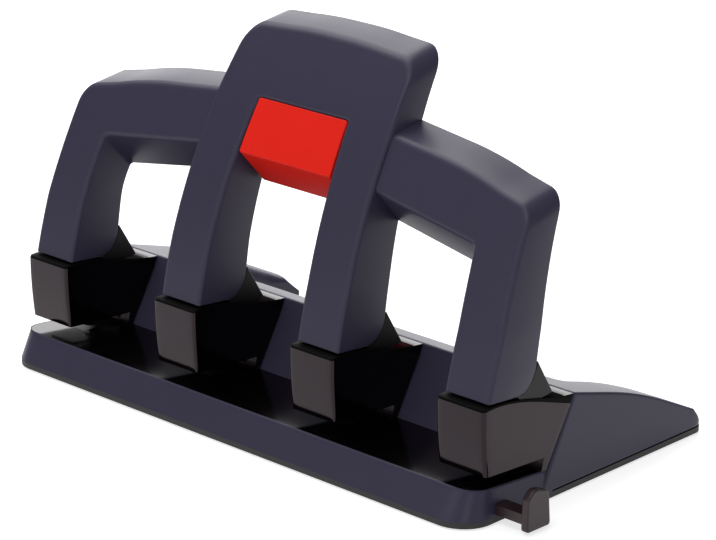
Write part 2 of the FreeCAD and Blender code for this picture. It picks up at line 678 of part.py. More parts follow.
def pivot_pin():
    half = FRAME_WIDTH / 2
    shaft = axle(-half, half + PIVOT_CLIP_THICKNESS, PIVOT_PIN_DIAMETER / 2)
    return shaft.fuse(axle(-half - PIVOT_HEAD_THICKNESS, -half, PIVOT_HEAD_DIAMETER / 2))


def pivot_clip():
    half = FRAME_WIDTH / 2
    ring = axle(half, half + PIVOT_CLIP_THICKNESS, PIVOT_CLIP_DIAMETER / 2)
    ring = ring.cut(axle(half, half + PIVOT_CLIP_THICKNESS, PIVOT_PIN_DIAMETER / 2))
    mouth = box(half, half + PIVOT_CLIP_THICKNESS, PIVOT_DEPTH - 1.2, PIVOT_DEPTH + 1.2,
                PIVOT_HEIGHT - PIVOT_CLIP_DIAMETER, PIVOT_HEIGHT)
    return ring.cut(mouth)


def frame_screws():
    screws = []
    for x in HOLE_XS:
        for depth in frame_screw_depths():
            length = RAIL_THICKNESS + FRAME_DIE_HEIGHT - FRAME_SCREW_COVER
            screws.append(screw(x, depth, RAIL_BOTTOM, FRAME_SCREW_HEAD, FRAME_SCREW_HEAD_HEIGHT,
                                FRAME_SCREW_DIAMETER, length))
    return Part.makeCompound(screws)


def punch_pin():
    """Headed pin with a V-notched cutting tip."""
    shaft = cylinder(HOLE_DIAMETER / 2, PIN_TOP - PIN_TIP, 0, PIN_DEPTH, PIN_TIP)
    head = cylinder(PIN_HEAD_DIAMETER / 2, PIN_HEAD_THICKNESS, 0, PIN_DEPTH, PIN_TOP - PIN_HEAD_THICKNESS)
    reach = HOLE_DIAMETER
    notch = side_prism([(PIN_DEPTH - HOLE_DIAMETER / 2, PIN_TIP - 1, 0),
                        (PIN_DEPTH, PIN_TIP + PIN_TIP_NOTCH, 0),
                        (PIN_DEPTH + HOLE_DIAMETER / 2, PIN_TIP - 1, 0)], -reach, reach)
    return shaft.fuse(head).cut(notch)


def return_spring():
    """Corrugated sleeve of the coil's outer and inner size, between arm and pin head."""
    inner = HOLE_DIAMETER / 2 + SPRING_GAP
    outer = inner + SPRING_WIRE
    top = PIN_TOP - PIN_HEAD_THICKNESS
    step = (top - ARM_TOP) / SPRING_WAVES
    outside = []
    for i in range(SPRING_WAVES):
        low = ARM_TOP + i * step
        outside.append((outer - SPRING_WIRE / 3, low))
        outside.append((outer, low + step / 2))
    outside.append((outer - SPRING_WIRE / 3, top))
    points = [(inner, ARM_TOP)] + outside + [(inner, top)]
    line = [Vector(r, 0, z) for r, z in points]
    face = Part.Face(Part.makePolygon(line + line[:1]))
    sleeve = face.revolve(Vector(0, 0, 0), Vector(0, 0, 1), 360)
    return sleeve.translated(Vector(0, from_front(PIN_DEPTH), 0))


def tower_profile(inset):
    """Side outline of a tower without its slot, drawn in by an inset."""
    foot = top_height(TOWER_REAR_FOOT)
    lip = ARM_BOTTOM + TOWER_LIP_RISE
    middle = PIVOT_HEIGHT + TOWER_TOP_MID_RISE
    return [(TOWER_FRONT + inset, lip, 0),
            (TOWER_FRONT - TOWER_BELLY / 2 + inset, lip + TOWER_BELLY_RISE, TOWER_BELLY_RADIUS),
            (TOWER_FRONT - TOWER_BELLY + inset, TOWER_TOP_FRONT_HEIGHT - inset, TOWER_FRONT_EDGE_RADIUS),
            (PIVOT_DEPTH + TOWER_TOP_MID_DEPTH, middle - inset, TOWER_TOP_MID_RADIUS),
            (TOWER_REAR_TOP - inset, TOWER_REAR_TOP_HEIGHT - inset, TOWER_EDGE_RADIUS),
            (TOWER_REAR_FOOT - inset, foot, 0),
            (BACK_STOP_DEPTH - TOWER_ROOF, foot, 0)]


def slot_profile():
    """Paper slot as the cover leaves it: a mouth that narrows to the back stop."""
    lip = ARM_BOTTOM + TOWER_LIP_RISE
    far = BACK_STOP_DEPTH
    return [(-5, -5, 0), (far, -5, 0), (far, ARM_BOTTOM - 0.3, 0.6), (TOWER_FRONT, lip, 0), (-5, lip, 0)]


def tower_cover():
    half = TOWER_HALF
    body = side_prism(tower_profile(0), -half, half).cut(side_prism(slot_profile(), -half, half))
    body = body.cut(below_top(0))
    inner = TOWER_INNER_HALF
    hollow = side_prism(tower_profile(TOWER_FRONT_WALL), -inner, inner)
    keep_floor = side_prism([(-5, -5, 0), (BACK_STOP_DEPTH + TOWER_ROOF, -5, 0),
                             (BACK_STOP_DEPTH + TOWER_ROOF, ARM_BOTTOM + 1.2, 0),
                             (TOWER_FRONT, ARM_BOTTOM + TOWER_LIP_RISE + 1.2, 0),
                             (-5, ARM_BOTTOM + TOWER_LIP_RISE + 1.2, 0)], -half, half)
    body = body.cut(hollow.cut(keep_floor))
    opening_back = PIVOT_DEPTH + DRUM_RADIUS + TOWER_BACK_GAP
    mouth = box(-inner, inner, PIVOT_DEPTH - TOWER_MOUTH_LEDGE, opening_back,
                TOWER_REAR_TOP_HEIGHT - TOWER_MOUTH_DEPTH, PIVOT_HEIGHT + DRUM_RADIUS)
    body = body.cut(mouth)
    frame_half = FRAME_WIDTH / 2 + TABLE_GAP
    frame_hole = box(-frame_half, frame_half, FRAME_FRONT - TABLE_GAP, FRAME_REAR + TABLE_GAP, 0, ARM_TOP)
    return body.cut(frame_hole)


# ---- paper guide --------------------------------------------------------------------
def guide_bar():
    z0 = SHELL_BOTTOM + GUIDE_BAR_LIFT
    x1 = BASE_HALF_FRONT + GUIDE_PULLED_OUT
    back = GUIDE_BAR_FRONT + GUIDE_BAR_DEPTH
    bar = box(GUIDE_BAR_INNER_END, x1, GUIDE_BAR_FRONT, back, z0, z0 + GUIDE_BAR_HEIGHT)
    for i in range(GUIDE_NOTCH_COUNT):
        x = guide_spring_x() - i * GUIDE_NOTCH_PITCH
        start = Vector(x, from_front(back) + GUIDE_NOTCH, z0)
        bar = bar.cut(Part.makeCylinder(2 * GUIDE_NOTCH, GUIDE_BAR_HEIGHT, start))
    return bar


def guide_stop():
    """End stop of the guide: a rounded upright plate that the paper's edge touches."""
    x0 = BASE_HALF_FRONT + GUIDE_PULLED_OUT
    x1 = x0 + GUIDE_STOP_THICKNESS
    back = GUIDE_STOP_FRONT + GUIDE_STOP_DEPTH
    top = RIM_HEIGHT + GUIDE_STOP_RISE
    corners = [(GUIDE_STOP_FRONT, FOOT_PROUD + 0.6, 1.5), (back, FOOT_PROUD + 0.6, 1.5),
               (back - 1.5, top - 2.5, 4.0), (GUIDE_STOP_FRONT + 4.0, top, 4.0),
               (GUIDE_STOP_FRONT, top - 4.0, 3.0)]
    return side_prism(corners, x0, x1)


def guide_spring_x():
    return BASE_HALF_FRONT - BASE_WALL - GUIDE_RAIL_LENGTH / 2


def guide_spring():
    """Leaf behind the rear rail; its bead reaches through a window towards the notches."""
    z0 = SHELL_BOTTOM + GUIDE_BAR_LIFT
    back = GUIDE_BAR_FRONT + GUIDE_BAR_DEPTH
    rail_back = back + GUIDE_CLEARANCE + GUIDE_RAIL
    x = guide_spring_x()
    half = GUIDE_SPRING_LENGTH / 2
    leaf = box(x - half, x + half, rail_back, rail_back + GUIDE_SPRING_THICKNESS,
               z0, z0 + GUIDE_SPRING_HEIGHT)
    bead = cylinder(GUIDE_RAIL - 0.4, GUIDE_SPRING_HEIGHT, x, rail_back, z0)
    bead = bead.cut(box(x - half, x + half, rail_back + GUIDE_SPRING_THICKNESS, rail_back + half,
                        z0, z0 + GUIDE_SPRING_HEIGHT))
    return leaf.fuse(bead)


# ---- handle -------------------------------------------------------------------------
def handle_edge(points, move):
    """One edge of the side profile, as an arc through three points, moved along Y."""
    return Part.Arc(*[Vector(0, from_front(d + move), z) for d, z in points]).toShape()


def front_points():
    return [(LEG_FRONT, LEG_BOTTOM_FRONT), FRONT_MID, FRONT_TOP]


def side_front_points():
    """Front face of the side arches: level with the centre at the feet, set back above."""
    middle = (FRONT_MID[0] + SIDE_SETBACK, FRONT_MID[1])
    high = (FRONT_TOP[0] + SIDE_SETBACK, FRONT_TOP[1])
    return [(LEG_FRONT, LEG_BOTTOM_FRONT), middle, high]


def rear_points():
    return [(LEG_REAR, LEG_BOTTOM_REAR), REAR_MID, REAR_TOP]


def band(front, rear):
    """Body along X between two edges of the side profile, closed above and below."""
    front_low, front_high = front.Vertexes[0].Point, front.Vertexes[-1].Point
    rear_low, rear_high = rear.Vertexes[0].Point, rear.Vertexes[-1].Point
    top = Vector(0, 0, ARCH_CORNER_RADIUS)
    edges = [front, Part.makeLine(front_high, front_high + top),
             Part.makeLine(front_high + top, rear_high + top), Part.makeLine(rear_high + top, rear_high),
             rear, Part.makeLine(rear_low, front_low)]
    reach = OUTER_HOLE + LEG_WIDTH
    face = Part.Face(Part.Wire(Part.sortEdges(edges)[0]))
    return face.extrude(Vector(2 * reach, 0, 0)).translated(Vector(-reach, 0, 0))


def handle_band(front_inset, rear_inset):
    """Body between the curved front and rear faces of the handle, less two insets."""
    return band(handle_edge(front_points(), front_inset), handle_edge(rear_points(), -rear_inset))


def back_band(outer, inner):
    """Body that follows the rear face, between two depths in from it."""
    return band(handle_edge(rear_points(), -inner), handle_edge(rear_points(), -outer))


def handle_outline(inset):
    """Front view of the handle without its windows, drawn in by an inset."""
    side = OUTER_HOLE + LEG_WIDTH / 2 - inset
    top_side = side - LEG_TOP_TAPER
    arch = ARCH_HALF_WIDTH - inset
    low = LEG_BOTTOM_REAR - LEG_WIDTH
    middle = (ARCH_HALF_WIDTH + OUTER_HOLE) / 2
    right = [(side, low, 0), (side, LEG_BOTTOM_FRONT + LEG_STRAIGHT, 60.0),
             (top_side, SIDE_ARCH_OUTER_TOP - inset, SIDE_ARCH_CORNER_RADIUS - inset),
             (middle + LEG_WIDTH / 2, SIDE_ARCH_MID_TOP - inset, 240.0),
             (arch + ARCH_SPREAD, SIDE_ARCH_INNER_TOP - inset, 2.0),
             (arch, ARCH_SHOULDER - inset, ARCH_CORNER_RADIUS - inset),
             (arch / 3, ARCH_TOP - inset, 300.0)]
    return mirrored(right)


def heel():
    """What the rounded lower rear corner takes off each leg."""
    height = LEG_BOTTOM_REAR + HEEL_RADIUS
    centre_y = curve_y(rear_points(), 0, height) - HEEL_RADIUS
    reach = OUTER_HOLE + LEG_WIDTH
    corner = Part.makeBox(2 * reach, 2 * HEEL_RADIUS, 2 * HEEL_RADIUS,
                          Vector(-reach, centre_y, height - 2 * HEEL_RADIUS))
    return corner.cut(Part.makeCylinder(HEEL_RADIUS, 2 * reach, Vector(-reach, centre_y, height),
                                        Vector(1, 0, 0)))


def window_prism(corners):
    """Prism along the windows' tilt, drawn where their upper edge meets the front face."""
    tilt = math.radians(WINDOW_TILT)
    run = Vector(0, math.cos(tilt), -math.sin(tilt)) * BASE_DEPTH
    return front_prism(corners, FRONT_MID[0], run * 2).translated(run * -1)


def side_window(sign, grow):
    """Window between an outer and a middle leg, open at the bottom, grown by a wall."""
    half = LEG_WIDTH / 2 - grow
    inner = INNER_HOLE + half
    outer = OUTER_HOLE - half
    low = -BASE_DEPTH
    straight = LEG_BOTTOM_FRONT + LEG_STRAIGHT
    corners = [(sign * inner, low, 0), (sign * inner, straight, 90.0),
               (sign * (inner - WINDOW_INNER_TAPER), SIDE_WINDOW_INNER_TOP + grow, SIDE_WINDOW_RADIUS),
               (sign * (outer - WINDOW_OUTER_TAPER), SIDE_WINDOW_OUTER_TOP + grow, SIDE_WINDOW_RADIUS),
               (sign * outer, straight, 90.0), (sign * outer, low, 0)]
    return window_prism(corners)


def centre_window(grow, top):
    half = INNER_HOLE - LEG_WIDTH / 2 + grow
    narrow = half - CENTRE_WINDOW_TAPER
    return window_prism(mirrored([(half, -BASE_DEPTH, 0), (half, LEG_BOTTOM_FRONT + LEG_STRAIGHT, 90.0),
                                  (narrow, top, CENTRE_WINDOW_RADIUS)]))


def handle_form(inset, between):
    """The handle's front view, drawn in by an inset, inside a band of its side view."""
    run = Vector(0, 2 * BASE_DEPTH, 0)
    body = front_prism(handle_outline(inset), -BASE_DEPTH / 2, run).common(between)
    for window in (side_window(-1, inset), side_window(1, inset),
                   centre_window(inset, CENTRE_WINDOW_TOP + inset)):
        body = body.cut(window)
    return body


def side_setback():
    """Slab that the side arches and outer legs stand back behind, beside the centre arch."""
    slab = band(handle_edge(front_points(), -HANDLE_WALL), handle_edge(side_front_points(), 0))
    window_side = INNER_HOLE + LEG_WIDTH / 2 - WINDOW_INNER_TAPER
    junction = ARCH_HALF_WIDTH + ARCH_SPREAD
    beyond = OUTER_HOLE + 2 * LEG_WIDTH
    outer_leg = OUTER_HOLE - LEG_WIDTH
    corners = [(outer_leg, 0, 0), (outer_leg, SIDE_SETBACK_FROM, 0), (window_side, SIDE_SETBACK_FROM, 0),
               (window_side, SIDE_WINDOW_INNER_TOP, 0), (junction, SIDE_ARCH_INNER_TOP, 0),
               (junction, 2 * SIDE_ARCH_INNER_TOP, 0), (beyond, 2 * SIDE_ARCH_INNER_TOP, 0), (beyond, 0, 0)]
    right = front_prism(corners, -BASE_DEPTH / 2, Vector(0, 2 * BASE_DEPTH, 0))
    left = right.mirror(Vector(0, 0, 0), Vector(1, 0, 0))
    return slab.common(right).fuse(slab.common(left))


def handle_shell():
    """Front shell of the handle: open at the back and under each leg, with inner ribs."""
    wall = HANDLE_WALL
    body = handle_form(0, handle_band(0, 0))
    cavity = handle_form(wall, handle_band(wall, -wall))
    below = LEG_BOTTOM_REAR - wall
    for x in HOLE_XS:
        half = LEG_WIDTH / 2 - wall
        mouth = box(x - half, x + half, LEG_FRONT + wall, LEG_REAR + wall, below, LEG_BOTTOM_FRONT + wall)
        cavity = cavity.fuse(mouth)
    setback = side_setback()
    body = body.cut(cavity.cut(setback.translated(Vector(0, wall, 0))))
    plate_front = HANDLE_BACK_THICKNESS + LEVER_PLATE
    ribs = handle_form(wall / 2, handle_band(wall / 2, plate_front))
    for z in HANDLE_RIB_HEIGHTS:
        start = Vector(-2 * OUTER_HOLE, -BASE_DEPTH, z)
        slab = Part.makeBox(4 * OUTER_HOLE, 2 * BASE_DEPTH, HANDLE_RIB, start)
        body = body.fuse(ribs.common(slab))
    return body.cut(setback).cut(heel())


def handle_back():
    """Rear cover, let into the shell and following its curve."""
    cover = handle_form(HANDLE_WALL + HANDLE_BACK_GAP, back_band(0, HANDLE_BACK_THICKNESS))
    for x in HOLE_XS:
        for z in lever_screw_heights():
            hole = along_normal(LEVER_SCREW_HEAD / 2 + HANDLE_BACK_GAP, x, z, 2 * HANDLE_BACK_THICKNESS, 0)
            cover = cover.cut(hole)
    return cover.cut(heel())


def lever_plate():
    """Steel plate that ties the four legs together, behind the ribs of the shell."""
    inset = HANDLE_WALL + LEVER_PLATE_GAP
    plate = handle_form(inset, back_band(HANDLE_BACK_THICKNESS, HANDLE_BACK_THICKNESS + LEVER_PLATE))
    for x in HOLE_XS:
        for z in lever_screw_heights():
            plate = plate.cut(along_normal(LEVER_SCREW_DIAMETER / 2, x, z, 0, 2 * LEVER_PLATE))
    return plate.cut(heel())


def lever_screw_heights():
    return [LEG_BOTTOM_FRONT + LEVER_SCREW_FIRST, LEG_BOTTOM_FRONT + LEVER_SCREW_FIRST + LEVER_SCREW_PITCH]


def curve_y(points, move, z):
    """Y of a curved face of the handle at a height."""
    probe = Part.makeLine(Vector(0, -BASE_DEPTH, z), Vector(0, BASE_DEPTH, z))
    return handle_edge(points, move).distToShape(probe)[1][0][0].y


def along_normal(radius, x, z, outwards, inwards):
    """Cylinder square to the lever plate's rear face at a height."""
    centre = handle_edge(rear_points(), 0).Curve.Center
    seat = Vector(x, curve_y(rear_points(), -HANDLE_BACK_THICKNESS, z), z)
    normal = Vector(0, centre.y - HANDLE_BACK_THICKNESS - seat.y, centre.z - z)
    if normal.y > 0:
        normal = normal * -1
    normal.normalize()
    return Part.makeCylinder(radius, outwards + inwards, seat - normal * outwards, normal)


def lever_screws():
    screws = []
    for x in HOLE_XS:
        for z in lever_screw_heights():
            shank = along_normal(LEVER_SCREW_DIAMETER / 2, x, z, 0, LEVER_SCREW_LENGTH)
            head = along_normal(LEVER_SCREW_HEAD / 2, x, z, LEVER_SCREW_HEAD_HEIGHT, 0)
            screws.append(shank.fuse(head))
    return Part.makeCompound(screws)


# ---- lever roots and their covers, drawn at x = 0 -------------------------------------
def cam_point(turn):
    """Involute of the cam circle in the lever's own frame, from the pivot, as (y, z)."""
    drop = CAM_START_DROP - CAM_GAP + CAM_BASE_RADIUS * turn
    y = CAM_BASE_RADIUS * math.cos(turn) + drop * math.sin(turn)
    z = CAM_BASE_RADIUS * math.sin(turn) - drop * math.cos(turn)
    return y, z


def cam_edge(x):
    margin = math.radians(CAM_NOSE_MARGIN_DEG)
    steps = 12
    turns = [-margin + i * (PRESS + 2 * margin) / steps for i in range(steps + 1)]
    points = [from_pivot(x, *cam_point(turn)) for turn in turns]
    curve = Part.BSplineCurve()
    curve.interpolate(points)
    return curve.toShape(), points[0], points[-1]


def from_pivot(x, y, z):
    return Vector(x, from_front(PIVOT_DEPTH) + y, PIVOT_HEIGHT + z)


def lever_root():
    """Hub, cam nose and web of one leg; the web stands on the front of the lever plate."""
    half = FRAME_WIDTH / 2 - FRAME_EAR - HUB_SIDE_GAP
    nose, first, last = cam_edge(-half)
    neck = LEG_BOTTOM_FRONT - PIVOT_HEIGHT + 3
    rest = [last, from_pivot(-half, ROOT_NECK_REAR, LEG_BOTTOM_REAR - PIVOT_HEIGHT - 1),
            from_pivot(-half, ROOT_NECK_REAR, neck), from_pivot(-half, -HUB_RADIUS + 1.2, neck),
            from_pivot(-half, -HUB_RADIUS, 0), from_pivot(-half, 0, 0),
            from_pivot(-half, HUB_RADIUS * 0.7, -HUB_RADIUS * 0.6), first]
    lines = [Part.makeLine(a, b) for a, b in zip(rest, rest[1:])]
    lower = Part.Face(Part.Wire([nose] + lines)).extrude(Vector(2 * half, 0, 0))
    hub = axle(-half, half, HUB_RADIUS)
    web = box(-half, half, PIVOT_DEPTH - HUB_RADIUS + 1.2, LEG_REAR + HUB_RADIUS, LEG_BOTTOM_FRONT + 1,
              LEG_BOTTOM_FRONT + ROOT_TANG_HEIGHT)
    inside = handle_band(HANDLE_WALL + LEVER_PLATE_GAP, HANDLE_BACK_THICKNESS + LEVER_PLATE)
    root = lower.fuse(hub).fuse(web.common(inside))
    root = root.cut(axle(-half, half, PIVOT_PIN_DIAMETER / 2 + PIVOT_CLEARANCE))
    for z in lever_screw_heights():
        root = root.cut(along_normal(LEVER_SCREW_DIAMETER / 2, 0, z, 0, LEVER_SCREW_LENGTH))
    return root


def drum_cover():
    """Black cover behind the foot of a leg, turned about the pivot, with two cheeks."""
    half = LEG_WIDTH / 2
    low = math.radians(DRUM_LOWER_ANGLE)
    reach = 2 * DRUM_RADIUS
    disc = axle(-half, half, DRUM_RADIUS)
    above = side_prism([(PIVOT_DEPTH, PIVOT_HEIGHT, 0),
                        (PIVOT_DEPTH + reach * math.cos(low), PIVOT_HEIGHT + reach * math.sin(low), 0),
                        (PIVOT_DEPTH + reach, PIVOT_HEIGHT + reach, 0),
                        (PIVOT_DEPTH, PIVOT_HEIGHT + reach, 0)], -half, half)
    body = disc.common(above).common(drum_flat())
    leg = handle_band(0, 0).fuse(back_band(0, HANDLE_BACK_THICKNESS)).cut(heel())
    cheek_inner = half - DRUM_CHEEK
    channel = axle(-cheek_inner, cheek_inner, DRUM_RADIUS - DRUM_SKIN)
    return body.cut(leg).cut(channel).cut(axle(-half, half, DRUM_EYE))


def drum_flat():
    """Everything below the flat that runs down from the leg to the drum's foot."""
    angle = math.radians(DRUM_FLAT_ANGLE_DEG)
    half = LEG_WIDTH
    reach = 2 * DRUM_RADIUS
    below = Part.makeBox(2 * half, 2 * reach, 2 * reach, Vector(-half, -reach, DRUM_FLAT_FROM - 2 * reach))
    below.rotate(Vector(0, 0, 0), Vector(1, 0, 0), -math.degrees(angle))
    return below.translated(Vector(0, from_front(PIVOT_DEPTH), PIVOT_HEIGHT))


def red_block():
    """Coloured block that fills the top of the centre window."""
    block = centre_window(-RED_BLOCK_GAP, CENTRE_WINDOW_TOP)
    block = block.cut(centre_window(LEG_WIDTH, CENTRE_WINDOW_TOP - RED_BLOCK_HEIGHT))
    return block.common(handle_band(RED_BLOCK_SETBACK, RED_BLOCK_BACK_SETBACK))


def save_all():
    single = {"base_shell": base_shell(), "table_panel": table_panel(), "punch_rail": punch_rail(),
              "bottom_band": bottom_band(), "rubber_feet": rubber_feet(), "base_screws": base_screws(),
              "chip_tray": chip_tray(), "frame_screws": frame_screws(), "guide_bar": guide_bar(),
              "guide_stop": guide_stop(), "guide_spring": guide_spring(),
              "pivot_clips": Part.makeCompound(each_hole(pivot_clip())),
              "handle_shell": handle_shell(), "handle_back": handle_back(), "lever_plate": lever_plate(),
              "lever_screws": lever_screws(), "red_block": red_block()}
    for node, shape in single.items():
        save(shape, node)
    at_each_hole = {"punch_frame": punch_frame(), "pivot_pin": pivot_pin(), "punch_pin": punch_pin(),
                    "return_spring": return_spring(), "tower_cover": tower_cover(),
                    "lever_root": lever_root(), "drum_cover": drum_cover()}
    for node, shape in at_each_hole.items():
        for number, copy in enumerate(each_hole(shape), 1):
            save(copy, node + "_" + str(number))


save_all()
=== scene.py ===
"""Looks of a four-hole desk punch, built round its solid model.

Lengths are metres in the model's own frame: +X to the end with the paper guide, +Y to
the rear, +Z up.  Outlines are drawn in millimetres, with depths counted from the bottom
front edge, and put_together() turns them into metres.
"""

import json
import math

import bpy
import numpy as np
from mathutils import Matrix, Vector
from mathutils.geometry import delaunay_2d_cdt


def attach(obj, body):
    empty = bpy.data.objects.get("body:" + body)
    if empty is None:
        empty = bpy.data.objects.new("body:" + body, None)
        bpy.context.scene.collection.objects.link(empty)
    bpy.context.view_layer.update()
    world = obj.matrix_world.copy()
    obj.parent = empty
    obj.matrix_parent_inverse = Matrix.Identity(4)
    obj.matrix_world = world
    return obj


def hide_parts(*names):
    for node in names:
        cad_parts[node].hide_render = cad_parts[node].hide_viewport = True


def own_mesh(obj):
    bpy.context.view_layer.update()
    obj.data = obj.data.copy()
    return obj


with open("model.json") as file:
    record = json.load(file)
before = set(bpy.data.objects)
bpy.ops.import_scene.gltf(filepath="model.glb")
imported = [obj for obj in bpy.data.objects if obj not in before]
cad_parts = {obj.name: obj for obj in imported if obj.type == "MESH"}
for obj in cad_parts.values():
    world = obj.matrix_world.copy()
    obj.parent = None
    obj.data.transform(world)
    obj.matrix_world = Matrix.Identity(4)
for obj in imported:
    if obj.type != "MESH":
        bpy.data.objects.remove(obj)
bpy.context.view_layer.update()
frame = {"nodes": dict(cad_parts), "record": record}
NODES = frame["nodes"]

MM = 0.001
BASE_DEPTH = 156.0
INNER_HOLE = 40.0
OUTER_HOLE = 120.0
HOLE_XS = (-OUTER_HOLE, -INNER_HOLE, INNER_HOLE, OUTER_HOLE)
PIN_DEPTH = 35.0
LEG_HALF = 11.5


# ---- outlines and closed surfaces -------------------------------------------------------
STRAIGHT = 0.008        # a turn smaller than this, in radians, gets no arc
CORNER_SHARE = 0.48     # the most of a side that the arc at one of its ends takes up
SHARP = 0.02            # the radius of a corner that looks sharp
ALMOST = 0.999          # stops short of the end of a quarter circle, where its wall stands upright
TINY = 1e-9             # keeps a division away from zero


def outline(corners, inset=0.0, spacing=6.0, arc_steps=8, like=None):
    """Closed loop through rounded corners, drawn in to its left by an inset.

    corners rows are (u, v, radius, a, b).  Each corner moves along its mitre
    (n1 + n2) / (1 + n1.n2) * inset, its radius shrinks on a convex corner and grows on a
    hollow one, and a and b are carried along linearly.  An arc turns from one side to the
    next in even steps, and the side between two arcs is divided evenly.  The count of
    points doesn't depend on the inset, so loops of one outline match point for point.
    like is another outline with the same corners, whose counts are used instead.
    """
    rows = np.array([tuple(c) + (0.0,) * (5 - len(c)) for c in corners], float)
    here = rows[:, :2]
    run = np.roll(here, -1, 0) - here
    length = np.linalg.norm(run, axis=1)
    way = run / length[:, None]
    last_way = np.roll(way, 1, 0)
    normal = np.stack([-way[:, 1], way[:, 0]], 1)
    last_normal = np.roll(normal, 1, 0)
    facing = 1 + (normal * last_normal).sum(1, keepdims=True)
    moved = here + inset * (normal + last_normal) / facing
    turn = last_way[:, 0] * way[:, 1] - last_way[:, 1] * way[:, 0]
    angle = np.arctan2(turn, (last_way * way).sum(1))
    room = CORNER_SHARE * np.minimum(length, np.roll(length, 1))
    half_tan = np.abs(np.tan(angle / 2)) + TINY
    radius = np.minimum(rows[:, 2], room / half_tan)
    radius = np.maximum(radius - inset * np.sign(turn), SHARP)
    tangent = radius * half_tan
    loops = []
    count = len(rows)
    model = here if like is None else np.array([c[:2] for c in like], float)
    sides = np.linalg.norm(np.roll(model, -1, 0) - model, axis=1)
    counts = np.maximum(2, sides / spacing).astype(int)
    for i in range(count):
        start = moved[i] - last_way[i] * tangent[i]
        side = 1.0 if turn[i] >= 0 else -1.0
        centre = start + side * last_normal[i] * radius[i]
        steps = arc_steps if abs(angle[i]) > STRAIGHT else 0
        t = np.linspace(0, 1, steps + 1)
        spin = angle[i] * t
        arm = start - centre
        arc = np.stack([centre[0] + arm[0] * np.cos(spin) - arm[1] * np.sin(spin),
                        centre[1] + arm[0] * np.sin(spin) + arm[1] * np.cos(spin)], 1)
        loops.append(np.hstack([arc, np.repeat(rows[i:i + 1, 3:], steps + 1, 0)]))
        after = (i + 1) % count
        next_start = moved[after] - way[i] * tangent[after]
        t = np.linspace(0, 1, counts[i] + 1)[1:-1, None]
        between = np.hstack([arc[-1] + (next_start - arc[-1]) * t,
                             rows[i, 3:] + (rows[after, 3:] - rows[i, 3:]) * t])
        loops.append(between)
    return np.vstack(loops)


def ring_faces(first, second):
    """Quads between two closed rows of vertex numbers."""
    return np.stack([first, np.roll(first, -1), np.roll(second, -1), second], 1)


def wall_faces(count, rings, start=0):
    """Quads that join closed rings of count points, numbered one ring after another."""
    numbers = np.arange(rings * count).reshape(rings, count) + start
    return [ring_faces(first, second) for first, second in zip(numbers[:-1], numbers[1:])]


def turned_over(faces):
    """The same faces with the other side out."""
    return [group[:, ::-1] for group in faces]


GRID_START = 0.37       # where the grid starts, in steps from the loop's lowest corner
GRID_CLEARANCE = 0.5    # how far it keeps from an edge, in steps
GRID_CHUNK = 200
MERGE_WITHIN = 1e-6
WITHIN_LOOP = 1
WITH_HOLES = 2


def sheet_inside(loop, spacing, holes=()):
    """Triangles that fill a closed loop, with inner points every spacing.

    Inner points lie on a square grid, less those nearer to an edge than half a step.
    Returns the inner points and triangles of (loop, holes, inner) numbers.
    """
    fixed = np.vstack([loop] + list(holes))
    low, high = fixed.min(0), fixed.max(0)
    u, v = np.meshgrid(np.arange(low[0], high[0], spacing), np.arange(low[1], high[1], spacing))
    inner = np.stack([u.ravel(), v.ravel()], 1) + spacing * GRID_START
    far = np.full(len(inner), np.inf)
    for part in np.array_split(fixed, max(1, len(fixed) // GRID_CHUNK)):
        gap = np.linalg.norm(inner[:, None, :] - part[None, :, :], axis=2).min(1)
        far = np.minimum(far, gap)
    inner = inner[far > spacing * GRID_CLEARANCE]
    edges = []
    start = 0
    for part in [loop] + list(holes):
        numbers = np.arange(len(part)) + start
        edges += list(zip(numbers.tolist(), np.roll(numbers, -1).tolist()))
        start += len(part)
    points = [Vector(p) for p in np.vstack([fixed, inner]).tolist()]
    found = delaunay_2d_cdt(points, edges, [], WITH_HOLES if holes else WITHIN_LOOP, MERGE_WITHIN)
    came_from = [ids[0] if ids else -1 for ids in found[3]]
    triangles = [[came_from[i] for i in face] for face in found[2]]
    triangles = np.array([t for t in triangles if min(t) >= 0], int)
    corners = np.array([tuple(p) for p in points])[triangles]
    middle = corners.mean(1)
    keep = inside(middle, loop)
    for hole in holes:
        keep &= ~inside(middle, hole)
    triangles, corners = triangles[keep], corners[keep]
    a, b = corners[:, 1] - corners[:, 0], corners[:, 2] - corners[:, 0]
    turned = a[:, 0] * b[:, 1] - a[:, 1] * b[:, 0] < 0
    triangles[turned] = triangles[turned][:, ::-1]
    return inner, triangles


def inside(points, loop):
    """True where a point lies in a loop: it has an odd number of edges to its right."""
    x, y = points[:, 0:1], points[:, 1:2]
    x0, y0 = loop[:, 0], loop[:, 1]
    x1, y1 = np.roll(x0, -1), np.roll(y0, -1)
    spans = (y0 > y) != (y1 > y)
    rise = np.where(y1 == y0, TINY, y1 - y0)
    cross = x0 + (y - y0) * (x1 - x0) / rise
    return (spans & (x < cross)).sum(1) % 2 == 1


def add_sheet(points, faces, outer, axes, lift, spacing, over=False, holes=()):
    """Adds to the faces a sheet that fills a loop of numbered points, less its holes.

    axes are the two coordinates that the sheet is laid out in, and lift gives the inner
    points their third.  Returns the points with the inner ones after them.
    """
    cuts = [points[hole][:, axes] for hole in holes]
    inner, triangles = sheet_inside(points[outer][:, axes], spacing, cuts)
    numbers = np.concatenate([outer] + list(holes) + [np.arange(len(inner)) + len(points)])
    faces.append(numbers[triangles][:, ::-1] if over else numbers[triangles])
    return np.vstack([points, lift(inner)])


SHARP_ANGLE = math.radians(32.0)


